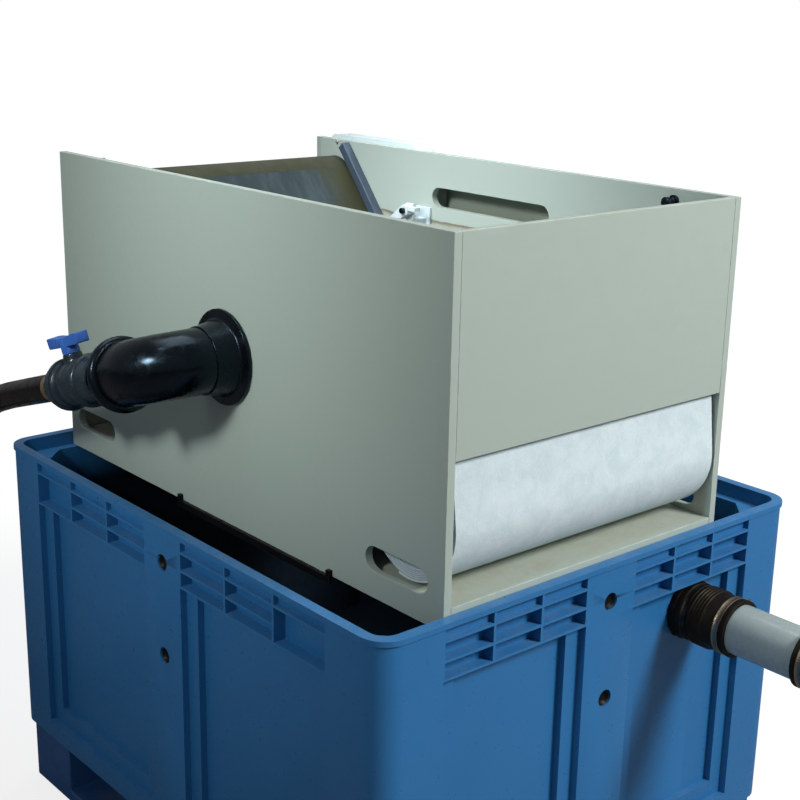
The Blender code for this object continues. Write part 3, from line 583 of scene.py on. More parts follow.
@dataclass(frozen=True)
class Rubber:
    """Dull rubber with dust in its grain."""

    name: str
    colour: Colour = (0.003, 0.0028, 0.0026)
    shade: Colour = (0.012, 0.009, 0.007)
    rough: float = 0.55
    grain: float = 500.0
    rub: float = 0.12
    specular: float = 0.2
    tint: Colour = (1.0, 0.85, 0.65)

    def build(self) -> bpy.types.Material:
        """Make the material.

        Returns:
            The material.
        """
        tree = Tree(self.name)
        clouds = tree.range(tree.noise(22, 6, 0.7), 0.35, 0.75)
        colour = tree.mix(clouds, self.colour, self.shade)
        rubbed = tree.times(tree.edges(0.52, 0.60), self.rub)
        tree.link(tree.mix(rubbed, colour, (0.16, 0.14, 0.12)), "Base Color")
        tree.relief(tree.noise(self.grain, 3), 0.0002, 0.6)
        worn = tree.noise(48, 5, 0.7)
        tree.link(tree.range(worn, 0.3, 0.7, self.rough - 0.12, self.rough + 0.15), "Roughness")
        tree.set(Specular_IOR_Level=self.specular, Specular_Tint=self.tint)
        return tree.material


@dataclass(frozen=True)
class Ground:
    """Pale floor whose glow, seen by the camera only, grows until it meets the surround."""

    name: str = "pale_floor"
    colour: Colour = (0.22, 0.225, 0.23)
    near: float = 1.0
    far: float = 4.0
    shade_share: float = 0.985
    near_glow: float = 0.80
    far_glow: float = 0.95

    def build(self) -> bpy.types.Material:
        """Make the material.

        Returns:
            The material.
        """
        tree = Tree(self.name)
        darker = tuple(self.shade_share * c for c in self.colour)
        tree.link(tree.mix(tree.noise(2), self.colour, darker), "Base Color")
        x, y, _ = tree.parts()
        reach = tree.distance(x, y)
        glow = tree.range(reach, self.near, self.far, self.near_glow, self.far_glow)
        seen = tree.nodes.new("ShaderNodeLightPath").outputs["Is Camera Ray"]
        tree.link(tree.times(glow, seen), "Emission Strength")
        tree.set(Roughness=0.95, Specular_IOR_Level=0.1, Emission_Color=(1.0, 1.0, 1.0))
        return tree.material


@lru_cache(maxsize=None)
def material_of(finish: object) -> bpy.types.Material:
    """Make a finish's material once."""
    return finish.build()


SUPPLY_CENTRE, SUPPLY_R = (-0.475, 0.8828), 0.100
GUIDE_CENTRE, GUIDE_R = (-0.515, 1.2328), 0.020
TAKEUP_CENTRE, TAKEUP_R = (0.4915, 1.2448), 0.060

# Its pale blue edges are partly worn and partly painted glints along the ribs and rim.
TANK_BLUE = TubPlastic("tank_plastic", (0.024, 0.150, 0.370), (0.021, 0.138, 0.345), rough=0.36,
                       wear_and_highlight=(0.13, 0.27, 0.50), wear_and_highlight_share=0.8, dust=(0.14, 0.24, 0.38), dust_share=0.30,
                       cloud=2.2, grain=700, grain_depth=0.0002, specular=0.32, scratch=0.15)
RUNNER_BLUE = Moulded("runner_plastic", (0.026, 0.105, 0.310), (0.020, 0.085, 0.260), rough=0.5,
                      wear_and_highlight=(0.14, 0.24, 0.42), wear_and_highlight_share=0.7, dust=(0.16, 0.18, 0.20), dust_share=0.3)
# Its pale cream edges are partly worn and partly a painted highlight along the sheet's edges.
PANEL = StainedSheet("panel_sheet", (0.355, 0.425, 0.388), (0.346, 0.415, 0.377), rough=0.42,
                     wear_and_highlight=(0.66, 0.66, 0.58), wear_and_highlight_share=0.75, dust=(0.42, 0.43, 0.35), dust_share=0.25,
                     grain=520, grain_depth=0.0001, cloud=1.6, scratch=0.15)
HOOD = Moulded("hood_sheet", (0.330, 0.375, 0.325), (0.275, 0.315, 0.265), rough=0.5, cloud=7,
               wear_and_highlight=(0.52, 0.54, 0.47), wear_and_highlight_share=0.5, dust=(0.36, 0.36, 0.29), dust_share=0.25)
CLEAN_FLEECE = Fleece("band_fleece", soil_from=0.40, soil_to=0.50)
SUPPLY_FLEECE = WoundFleece("supply_roll_fleece", SUPPLY_CENTRE, (0.52, 0.61, 0.645), (0.43, 0.53, 0.57),
                            (0.22, 0.28, 0.33))
SOILED_FLEECE = WoundFleece("soiled_roll_fleece", TAKEUP_CENTRE, (0.028, 0.031, 0.016),
                            (0.040, 0.044, 0.026), (0.010, 0.010, 0.006))
SLATE = Moulded("slate_guide", (0.050, 0.078, 0.120), (0.042, 0.066, 0.102), rough=0.42,
                wear_and_highlight=(0.22, 0.27, 0.33), wear_and_highlight_share=0.6, dust=(0.16, 0.17, 0.17), dust_share=0.2)
# Its bluish specular tint is painted reflection: it gives the highlights the sky's blue.
GLOSS_BLACK = Moulded("gloss_black", (0.0010, 0.0014, 0.0022), (0.0020, 0.0024, 0.0034), rough=0.24,
                      wear_and_highlight=(0.02, 0.022, 0.025), wear_and_highlight_share=0.4, dust=(0.03, 0.03, 0.03), dust_share=0.06,
                      grain=350, grain_depth=0.00004, scratch=0.06, specular=0.36, tint=(0.50, 0.76, 1.0))
DULL_BLACK = Moulded("dull_black", (0.003, 0.003, 0.0035), (0.005, 0.005, 0.0055), rough=0.46,
                     wear_and_highlight=(0.06, 0.06, 0.06), wear_and_highlight_share=0.5, dust=(0.05, 0.045, 0.04),
                     specular=0.16)
RUBBER = Rubber("coupling_rubber")
HOSE_SKIN = Rubber("hose_skin", (0.0025, 0.0022, 0.002), (0.010, 0.0065, 0.0045), rough=0.26, grain=260,
                   rub=0.0)
VALVE_GREY = Moulded("valve_plastic", (0.014, 0.028, 0.038), (0.010, 0.021, 0.028), rough=0.30, cloud=14,
                     wear_and_highlight=(0.10, 0.16, 0.21), wear_and_highlight_share=0.5, dust=(0.08, 0.10, 0.11), dust_share=0.08,
                     specular=0.38)
HANDLE_BLUE = Moulded("handle_plastic", (0.034, 0.140, 0.520), (0.030, 0.120, 0.460), rough=0.34,
                      wear_and_highlight=(0.25, 0.42, 0.75), wear_and_highlight_share=0.5, dust=(0.2, 0.3, 0.5))
PIPE_GREY = Moulded("pipe_plastic", (0.290, 0.355, 0.365), (0.260, 0.320, 0.330), rough=0.26, cloud=9,
                    wear_and_highlight=(0.70, 0.70, 0.66), wear_and_highlight_share=0.4, dust=(0.34, 0.36, 0.34))
CORE_BOARD = Moulded("core_tube", (0.42, 0.40, 0.35), (0.36, 0.34, 0.29), rough=0.6, dust_share=0.1)
STEEL = DrawnMetal("stainless")
PLATED = DrawnMetal("plated_band", (0.34, 0.27, 0.20), (0.20, 0.15, 0.10), 0.26, (1, 30, 1))
BLACKED = DrawnMetal("blackened_band", (0.030, 0.028, 0.026), (0.018, 0.016, 0.014), 0.34, (1, 30, 1))
TAN_BAND = DrawnMetal("tarnished_band", (0.42, 0.30, 0.20), (0.28, 0.18, 0.11), 0.34, (1, 30, 1))
WHITE = Moulded("white_plastic", (0.62, 0.71, 0.75), (0.59, 0.68, 0.72), rough=0.36,
                wear_and_highlight=(0.80, 0.83, 0.85), wear_and_highlight_share=0.3, dust=(0.5, 0.52, 0.5))
MOTOR = Moulded("motor_paint", (0.16, 0.165, 0.17), (0.12, 0.125, 0.13), rough=0.42,
                wear_and_highlight=(0.45, 0.45, 0.44), wear_and_highlight_share=0.8, dust=(0.25, 0.23, 0.2), dust_share=0.2)


# Modelling -----------------------------------------------------------------
def frame_along(origin: Sequence[float], direction: Sequence[float],
                up: Sequence[float] = (0, 0, 1)) -> Matrix:
    """A frame whose Z runs along direction and whose X is as near to up as it can be.

    Args:
        origin: Its origin.
        direction: Its Z.
        up: What X leans to.

    Returns:
        The frame.
    """
    z = Vector(direction).normalized()
    up = Vector(up)
    if abs(z.dot(up)) > 0.99:
        up = Vector((0, 1, 0))
    x = (up - z * up.dot(z)).normalized()
    return Matrix.Translation(Vector(origin)) @ Matrix((x, z.cross(x), z)).transposed().to_4x4()


def rounded_plan(half: Sequence[float], corner: float, steps: int,
                 middle: Sequence[float] = (0.0, 0.0)) -> list[tuple[float, float]]:
    """A rectangle with round corners.

    Args:
        half: Half its size both ways.
        corner: Its corners' radius.
        steps: Lengths in each corner.
        middle: Its middle.

    Returns:
        Its points in order.
    """
    points = []
    for sx, sy, start in ((1, 1, 0), (-1, 1, 90), (-1, -1, 180), (1, -1, 270)):
        for step in range(steps + 1):
            angle = math.radians(start + 90 * step / steps)
            points.append((middle[0] + sx * (half[0] - corner) + corner * math.cos(angle),
                           middle[1] + sy * (half[1] - corner) + corner * math.sin(angle)))
    return points


class Bench:
    """The modelling steps that every sub-assembly shares."""

    @staticmethod
    def clear() -> None:
        """Leave edit mode and deselect everything."""
        if bpy.context.object and bpy.context.object.mode != "OBJECT":
            bpy.ops.object.mode_set(mode="OBJECT")
        bpy.ops.object.select_all(action="DESELECT")

    @staticmethod
    def take(obj: Piece) -> None:
        """Make one object the only one selected, and the active one.

        Args:
            obj: The object.
        """
        Bench.clear()
        obj.select_set(True)
        bpy.context.view_layer.objects.active = obj

    @staticmethod
    def named(name: str) -> Piece:
        """Name the object that was just added, and its mesh.

        Args:
            name: The new name.

        Returns:
            The object.
        """
        obj = bpy.context.object
        obj.name = obj.data.name = name
        return obj

    @staticmethod
    def start(name: str, count: int, fill: str = "NOTHING") -> Piece:
        """Add a flat loop of count points and open it for editing.

        Args:
            name: The piece's name.
            count: How many points.
            fill: How the loop is filled.

        Returns:
            The piece, open for editing.
        """
        Bench.clear()
        bpy.ops.mesh.primitive_circle_add(vertices=count, radius=0.01, fill_type=fill, enter_editmode=True)
        return Bench.named(name)

    @staticmethod
    def set_loop(obj: Piece, spots: Sequence[Vector]) -> None:
        """Move the edited loop's points, in order, to their spots.

        Args:
            obj: The piece, open for editing.
            spots: A place for each point.
        """
        bm = bmesh.from_edit_mesh(obj.data)
        bm.verts.ensure_lookup_table()
        for vert, spot in zip(bm.verts, spots):
            vert.co = spot
        bmesh.update_edit_mesh(obj.data)
        bpy.ops.mesh.select_all(action="SELECT")

    @staticmethod
    def close(merge: float = MERGE) -> None:
        """Merge doubles, turn the faces outwards and leave edit mode.

        Args:
            merge: Points closer than this are one.
        """
        bpy.ops.mesh.select_all(action="SELECT")
        bpy.ops.mesh.remove_doubles(threshold=merge)
        bpy.ops.mesh.normals_make_consistent(inside=False)
        bpy.ops.object.mode_set(mode="OBJECT")

    @staticmethod
    def apply(obj: Piece, kind: str, **settings: object) -> None:
        """Add a modifier, set it and apply it.

        Args:
            obj: The piece.
            kind: The modifier's type.
            settings: Its settings by name.
        """
        Bench.take(obj)
        step = obj.modifiers.new(kind.title(), kind)
        for key, value in settings.items():
            setattr(step, key, value)
        bpy.ops.object.modifier_apply(modifier=step.name)

    @staticmethod
    def combine(obj: Piece, tool: Piece, way: Merge) -> None:
        """Cut a tool from a piece or weld it on, and remove the tool."""
        Bench.apply(obj, "BOOLEAN", object=tool, operation=way.value, solver="EXACT")
        bpy.data.objects.remove(tool, do_unlink=True)

    @staticmethod
    def push(shift: Sequence[float]) -> None:
        """Extrude what is selected by a shift."""
        bpy.ops.mesh.extrude_region_move(TRANSFORM_OT_translate={"value": shift})

    @staticmethod
    def pick(obj: Piece, test: Callable[[Face], bool]) -> int:
        """Select just the faces that pass a test.

        Args:
            obj: The piece, open for editing.
            test: The test of a face.

        Returns:
            How many faces passed.
        """
        bpy.ops.mesh.select_mode(type="FACE")
        bpy.ops.mesh.select_all(action="DESELECT")
        bm = bmesh.from_edit_mesh(obj.data)
        bm.normal_update()
        chosen = [face for face in bm.faces if test(face)]
        for face in chosen:
            face.select = True
        bm.select_flush(True)
        bmesh.update_edit_mesh(obj.data)
        return len(chosen)

    @staticmethod
    def ease(obj: Piece, width: float, segments: int = 2, angle: float = 30,
             smooth: float = 40) -> Piece:
        """Round a piece's edges and shade it smooth.

        Args:
            obj: The piece.
            width: The round's width in metres; 0 leaves the edges.
            segments: Faces across the round.
            angle: Edges sharper than this many degrees are rounded.
            smooth: Edges under this many degrees are shaded smooth.

        Returns:
            The same piece.
        """
        if width:
            Bench.apply(obj, "BEVEL", width=width, segments=segments, limit_method="ANGLE",
                        angle_limit=math.radians(angle), miter_outer="MITER_ARC")
        Bench.take(obj)
        bpy.ops.object.shade_smooth_by_angle(angle=math.radians(smooth))
        if width:
            Bench.apply(obj, "WEIGHTED_NORMAL", mode="FACE_AREA", weight=50, keep_sharp=True)
        return obj

    @staticmethod
    def turned(name: str, profile: Profile, frame: Matrix, steps: int = 48, round_off: float = 0.0004,
               smooth: float = 40) -> Piece:
        """Spin a closed profile of (radius, height) points about a frame's Z.

        Args:
            name: The piece's name.
            profile: The outline, in order round the section.
            frame: Where the axis stands.
            steps: Faces round the piece.
            round_off: Width of the rounding of its edges.
            smooth: Shading angle in degrees.

        Returns:
            The piece.
        """
        obj = Bench.start(name, len(profile))
        Bench.set_loop(obj, [frame @ Vector((radius, 0, height)) for radius, height in profile])
        bpy.ops.mesh.spin(steps=steps, angle=2 * math.pi, center=frame.translation,
                          axis=frame.col[2].to_3d(), dupli=False)
        Bench.close(2 * MERGE)
        return Bench.ease(obj, round_off, smooth=smooth)

    @staticmethod
    def block(name: str, low: Sequence[float], high: Sequence[float], round_off: float,
              frame: Optional[Matrix] = None, segments: int = 2) -> Piece:
        """A cube brought to its size, its edges rounded.

        Args:
            name: The piece's name.
            low: Its lowest corner.
            high: Its highest corner.
            round_off: Width of the rounding.
            frame: Where it stands, if moved.
            segments: Faces across the rounding.

        Returns:
            The piece.
        """
        low, high = Vector(low), Vector(high)
        Bench.clear()
        bpy.ops.mesh.primitive_cube_add(size=1, location=(low + high) / 2, scale=high - low)
        obj = Bench.named(name)
        bpy.ops.object.transform_apply(location=True, rotation=True, scale=True)
        if frame is not None:
            obj.data.transform(frame)
        return Bench.ease(obj, round_off, segments)

    @staticmethod
    def prism(name: str, outline: Sequence[Vector], depth: Vector, round_off: float,
              segments: int = 2, smooth: float = 40) -> Piece:
        """A filled outline extruded by depth.

        Args:
            name: The piece's name.
            outline: Its points in order.
            depth: The extrusion.
            round_off: Width of the rounding.
            segments: Faces across the rounding.
            smooth: Shading angle in degrees.

        Returns:
            The piece.
        """
        obj = Bench.start(name, len(outline), "NGON")
        Bench.set_loop(obj, outline)
        Bench.push(depth)
        Bench.close()
        return Bench.ease(obj, round_off, segments, smooth=smooth)

    @staticmethod
    def copied(obj: Piece, name: str, matrix: Matrix) -> Piece:
        """A copy of a piece with its own mesh, moved in the mesh.

        Args:
            obj: The piece.
            name: The copy's name.
            matrix: The copy's move.

        Returns:
            The copy.
        """
        Bench.take(obj)
        bpy.ops.object.duplicate()
        copy = Bench.named(name)
        copy.data.transform(matrix)
        return copy

    @staticmethod
    def joined(pieces: Sequence[Piece]) -> Piece:
        """Join pieces into the first of them.

        Args:
            pieces: The pieces.

        Returns:
            The joined piece.
        """
        Bench.take(pieces[0])
        for piece in pieces:
            piece.select_set(True)
        bpy.ops.object.join()
        return bpy.context.object

    @staticmethod
    def raised_ribs(obj: Piece, frame: Matrix, low: float, high: float, radius: float,
                    rise: float, every: int, steps: int) -> None:
        """Extrude every few faces of a turned band into grip ribs.

        Args:
            obj: A turned piece.
            frame: Its axis.
            low: The band's start along the axis.
            high: The band's end.
            radius: Least radius of the band's faces.
            rise: How far the ribs stand out.
            every: One rib for this many faces.
            steps: Faces round the piece.
        """
        back = frame.inverted()

        def on_rib(face: Face) -> bool:
            """Whether a face is the foot of a rib.

            Args:
                face: The face.

            Returns:
                Whether it is.
            """
            spot = back @ face.calc_center_median()
            sector = round((math.atan2(spot.y, spot.x) % math.tau) / math.tau * steps - 0.5)
            return (low < spot.z < high and math.hypot(spot.x, spot.y) > radius
                    and sector % every == 0 and face.calc_area() > 1e-6)

        Bench.take(obj)
        bpy.ops.object.mode_set(mode="EDIT")
        Bench.pick(obj, on_rib)
        bpy.ops.mesh.extrude_region_move()
        bpy.ops.transform.shrink_fatten(value=rise)
        bpy.ops.mesh.select_mode(type="VERT")
        bpy.ops.object.mode_set(mode="OBJECT")

    @staticmethod
    def hand_over(obj: Piece, finish: object, body: Body, slot: Slot,
                  *stands_for: str) -> Piece:
        """Dress a piece and fit it to the frame.

        Args:
            obj: The piece.
            finish: Its finish.
            body: The body that it rides on.
            slot: The record's slot of its finish.
            stands_for: The frame's nodes that it replaces.

        Returns:
            The same piece.
        """
        obj.data.materials.clear()
        obj.data.materials.append(material_of(finish))
        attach(obj, body.value)
        if stands_for:
            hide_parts(*stands_for)
        LOG.info("%s on %s, in %s", obj.name, body.value, slot.value)
        return obj


class Assembly:
    """A sub-assembly that stands in for whole nodes."""

    flat_within = math.radians(0.6)

    def eased(self, nodes: Iterable[str], width: float, finish: object, slot: Slot,
              body: Body = Body.FILTER, segments: int = 2) -> None:
        """Stand a copy with merged faces and rounded edges in for each node.

        Args:
            nodes: The frame's nodes.
            width: Width of the rounding.
            finish: Their finish.
            slot: The record's slot.
            body: The body that they ride on.
            segments: Faces across the rounding.
        """
        for node in nodes:
            Bench.take(bpy.data.objects[node])
            bpy.ops.object.duplicate()
            obj = Bench.named(f"{node}_skin")
            obj.hide_render = False
            for key in list(obj.keys()):
                del obj[key]
            bpy.ops.object.mode_set(mode="EDIT")
            bpy.ops.mesh.select_all(action="SELECT")
            bpy.ops.mesh.remove_doubles(threshold=MERGE)
            bpy.ops.mesh.dissolve_limited(angle_limit=self.flat_within)
            bpy.ops.object.mode_set(mode="OBJECT")
            if "custom_normal" in obj.data.attributes:
                bpy.ops.mesh.customdata_custom_splitnormals_clear()
            Bench.ease(obj, width, segments)
            Bench.hand_over(obj, finish, body, slot, node)

    def turned(self, node: str, profile: Profile, frame: Matrix, finish: object, slot: Slot,
               body: Body = Body.FILTER, steps: int = 48, round_off: float = 0.0004) -> Piece:
        """Stand a turned piece in for a node."""
        piece = Bench.turned(f"{node}_turned", profile, frame, steps, round_off)
        return Bench.hand_over(piece, finish, body, slot, node)


# Sub-assemblies ------------------------------------------------------------
@dataclass
class Tank(Assembly):
    """The ribbed tub and its runners."""

    half: tuple[float, float] = (0.497, 0.597)
    corner: float = 0.045
    corner_steps: int = 8
    base: float = 0.145
    top: float = 0.760
    lip: float = 0.003
    lip_low: float = 0.7505
    rim: float = 0.0165
    ledge: float = 0.0275
    shelf: float = 0.0195
    chamfer: float = 0.060
    floor: float = 0.160
    rows: tuple[tuple[float, float], ...] = ((0.6665, 0.6930), (0.6975, 0.7260), (0.7305, 0.7500))
    row_depths: tuple[float, ...] = (0.023, 0.023, 0.010)
    field: tuple[float, float] = (0.185, 0.6625)
    step_depth: float = 0.013
    step_width: float = 0.034
    pillar_half: float = 0.058
    pitches: tuple[float, float] = (0.137, 0.105)
    columns: int = 3
    rib: float = 0.005
    hole_r: float = 0.0155
    holes: tuple[float, ...] = (0.691, 0.513)
    drain: tuple[float, float, float] = (0.240, 0.604, 0.0457)
    hole_depth: float = 0.032
    drain_depth: float = 0.060
    edge: float = 0.0013
    runner_edge: float = 0.004

    def build(self) -> None:
        """Make the tub and the runners' skins."""
        tub = self.shell()
        for axis in (0, 1):
            for sign in (-1, 1):
                self.wall(tub, axis, sign)
        Bench.close()
        Bench.ease(tub, self.edge, angle=40, smooth=35)
        self.bore(tub)
        Bench.ease(tub, 0.0, smooth=35)
        Bench.hand_over(tub, TANK_BLUE, Body.FILTER, Slot.TANK, "tank")
        # Black pieces in the pillars' holes, as painted shade.
        self.plugs()
        runners = [f"runner_{side}" for side in ("left", "centre", "right")]
        self.eased(runners, self.runner_edge, RUNNER_BLUE, Slot.TANK, segments=3)

    def shell(self) -> Piece:
        """The tub drawn up from its plan, with its mouth, shelf and hollow pushed in.

        Returns:
            The tub, open for editing.
        """
        plan = [Vector((x, y, self.base)) for x, y in rounded_plan(self.half, self.corner, self.corner_steps)]
        tub = Bench.start("tank_tub", len(plan), "NGON")
        Bench.set_loop(tub, plan)
        Bench.push((0, 0, self.top - self.base))
        bpy.ops.mesh.inset(thickness=self.rim)
        Bench.push((0, 0, -self.ledge))
        bpy.ops.mesh.inset(thickness=self.shelf)
        self.square_off(tub)
        Bench.push((0, 0, self.floor - self.top + self.ledge))
        self.score(tub, self.is_side, 2, [self.lip_low])
        Bench.pick(tub, lambda face: self.is_side(face) and face.calc_center_median().z > self.lip_low)
        Bench.push((0, 0, 0))
        bpy.ops.transform.shrink_fatten(value=self.lip, use_even_offset=True)
        return tub

    def is_side(self, face: Face) -> bool:
        """Whether a face is on the tub's outside.

        Args:
            face: A face of the tub.

        Returns:
            Whether it is.
        """
        spot, normal = face.calc_center_median(), face.normal
        inner = (self.half[0] - 0.004, self.half[1] - 0.004)
        beyond = abs(spot.x) > inner[0] or abs(spot.y) > inner[1]
        rounded = abs(spot.x) > self.half[0] - self.corner and abs(spot.y) > self.half[1] - self.corner
        outwards = spot.x * normal.x + spot.y * normal.y > 0
        at_mouth = self.lip_low - 0.02 < min(v.co.z for v in face.verts) < self.lip_low - 0.001
        return abs(normal.z) < 0.1 and outwards and (beyond or rounded) and not at_mouth

    def square_off(self, tub: Piece) -> None:
        """Turn the hollow's four round corners into flat ones.

        Args:
            tub: The tub, open for editing, with the hollow's plan selected.
        """
        round_r = self.corner - self.rim - self.shelf
        half = tuple(h - self.rim - self.shelf for h in self.half)
        bm = bmesh.from_edit_mesh(tub.data)
        for vert in (v for v in bm.verts if v.select):
            a, b = abs(vert.co.x) - (half[0] - round_r), abs(vert.co.y) - (half[1] - round_r)
            share = math.atan2(max(b, 0), max(a, 0)) / (math.pi / 2)
            first, last = Vector((half[0], half[1] - self.chamfer)), Vector((half[0] - self.chamfer, half[1]))
            spot = first.lerp(last, share)
            vert.co.x, vert.co.y = math.copysign(spot.x, vert.co.x), math.copysign(spot.y, vert.co.y)
        bmesh.update_edit_mesh(tub.data)

    def score(self, tub: Piece, test: Callable[[Face], bool], axis: int,
              levels: Iterable[float]) -> None:
        """Cut the chosen faces at levels along an axis.

        Args:
            tub: The tub, open for editing.
            test: The test of a face.
            axis: The axis.
            levels: Where the cuts are.
        """
        normal = Vector((0, 0, 0))
        normal[axis] = 1
        for level in levels:
            Bench.pick(tub, test)
            bpy.ops.mesh.bisect(plane_co=normal * level, plane_no=normal)

    def wall(self, tub: Piece, axis: int, sign: int) -> None:
        """Press one wall's cells and fields in.

        Args:
            tub: The tub, open for editing.
            axis: 0 or 1, the axis of the wall's normal.
            sign: Its side.
        """
        face_at, along = sign * self.half[axis], 1 - axis
        pitch = self.pitches[axis]
        end = self.pillar_half + self.columns * pitch

        def on_wall(face: Face) -> bool:
            """Whether a face is on the wall's plane, under the lip."""
            return (abs(face.calc_center_median()[axis] - face_at) < ON_PLANE and abs(face.normal[axis]) > 0.9
                    and face.calc_center_median().z < self.lip_low)

        marks = {self.pillar_half, end, self.pillar_half + self.step_width, end - self.step_width}
        for column in range(self.columns):
            marks |= {self.pillar_half + pitch * column + self.rib / 2,
                      self.pillar_half + pitch * (column + 1) - self.rib / 2}
        self.score(tub, on_wall, along, sorted(s * m for m in marks for s in (-1, 1)))
        levels = {level for row in self.rows for level in row} | set(self.field)
        self.score(tub, on_wall, 2, sorted(levels | {self.field[0] + self.step_width}))
        for side in (-1, 1):
            for column in range(self.columns):
                low = self.pillar_half + pitch * column + self.rib / 2
                span = (low, low + pitch - self.rib)
                for heights, depth in self.cells(axis, column):
                    self.press(tub, axis, face_at, side, span, heights, -sign * depth)
            self.press(tub, axis, face_at, side, (self.pillar_half, end), self.field, -sign * self.step_depth)
            inner = (self.pillar_half + self.step_width, end - self.step_width)
            heights = (self.field[0] + self.step_width, self.field[1])
            deeper = face_at - sign * self.step_depth
            self.press(tub, axis, deeper, side, inner, heights, -sign * self.step_depth)

    def cells(self, axis: int, column: int) -> list[tuple[tuple[float, float], float]]:
        """The heights and depth of each cell in a column; the long walls end in one tall cell.

        Args:
            axis: The axis of the wall's normal.
            column: The column, from the pillar.

        Returns:
            The cells, each with its heights and its depth.
        """
        rows = list(zip(self.rows, self.row_depths))
        if axis == 0 and column == self.columns - 1:
            return [((self.rows[0][0], self.rows[1][1]), self.row_depths[0]), rows[-1]]
        return rows

    def press(self, tub: Piece, axis: int, face_at: float, side: int,
              span: tuple[float, float], heights: tuple[float, float], shift: float) -> None:
        """Push the faces of one rectangle into the wall.

        Args:
            tub: The tub, open for editing.
            axis: The axis of the wall's normal.
            face_at: Where the faces lie on that axis.
            side: Side of the centre pillar.
            span: The rectangle's ends, from the middle of the wall.
            heights: Its lower and upper edge.
            shift: How far to push, along the axis.
        """
        def inside(face: Face) -> bool:
            """Whether a face is in the rectangle.

            Args:
                face: The face.

            Returns:
                Whether it is.
            """
            spot = face.calc_center_median()
            return (abs(spot[axis] - face_at) < ON_PLANE and abs(face.normal[axis]) > 0.9
                    and span[0] < side * spot[1 - axis] < span[1] and heights[0] < spot.z < heights[1])

        if Bench.pick(tub, inside):
            move = Vector((0, 0, 0))
            move[axis] = shift
            Bench.push(move)

    def plugs(self) -> None:
        """Sink black pieces into the pillars' holes, as painted shade that makes them read dark: one turned,
        and copies of it.
        """
        rim = self.hole_r - 0.0004
        profile = [(0, -0.0085), (rim - 0.0060, -0.0085), (rim - 0.0044, -0.0075), (rim - 0.0030, -0.0038),
                   (rim - 0.0016, -0.0030), (rim - 0.0004, -0.0034), (rim, -0.0044), (rim, -0.0140),
                   (0, -0.0140)]
        master = Bench.turned("pillar_hole_shade", profile, Matrix.Identity(4), 32, 0.0)
        Bench.ease(master, 0.0, smooth=40)
        for tag, spot, out in self.pillar_holes():
            plug = Bench.copied(master, f"pillar_hole_shade_{tag}", frame_along(spot, out))
            Bench.hand_over(plug, DULL_BLACK, Body.FILTER, Slot.RUBBER)
        bpy.data.objects.remove(master, do_unlink=True)

    def pillar_holes(self) -> list[tuple[str, Vector, Vector]]:
        """Where the centre pillars are drilled.

        Returns:
            Each hole's tag, its place and the wall's direction.
        """
        holes = []
        for axis in (0, 1):
            for sign in (-1, 1):
                out = Vector((sign, 0, 0)) if axis == 0 else Vector((0, sign, 0))
                for row, z in enumerate(self.holes):
                    tag = f"{'xy'[axis]}{'lh'[sign > 0]}_{row}"
                    holes.append((tag, out * self.half[axis] + Vector((0, 0, z)), out))
        return holes

    def bore(self, tub: Piece) -> None:
        """Drill the holes of the pillars and of the drain.

        Args:
            tub: The tub.
        """
        drills = [self.drill(spot, out, self.hole_r, self.hole_depth) for _, spot, out in self.pillar_holes()]
        x, z, radius = self.drain
        start = Vector((x, -self.half[1], z))
        drills.append(self.drill(start, Vector((0, -1, 0)), radius, self.drain_depth))
        Bench.combine(tub, Bench.joined(drills), Merge.CUT)

    @staticmethod
    def drill(spot: Vector, out: Vector, radius: float, depth: float) -> Piece:
        """A round cutter that enters a wall at a spot.

        Args:
            spot: Where it enters.
            out: The wall's direction.
            radius: Its radius.
            depth: How deep it goes.

        Returns:
            The cutter.
        """
        lead = 0.012
        profile = [(0, -depth), (radius, -depth), (radius, lead), (0, lead)]
        return Bench.turned("drill", profile, frame_along(spot, out), 32, 0.0)


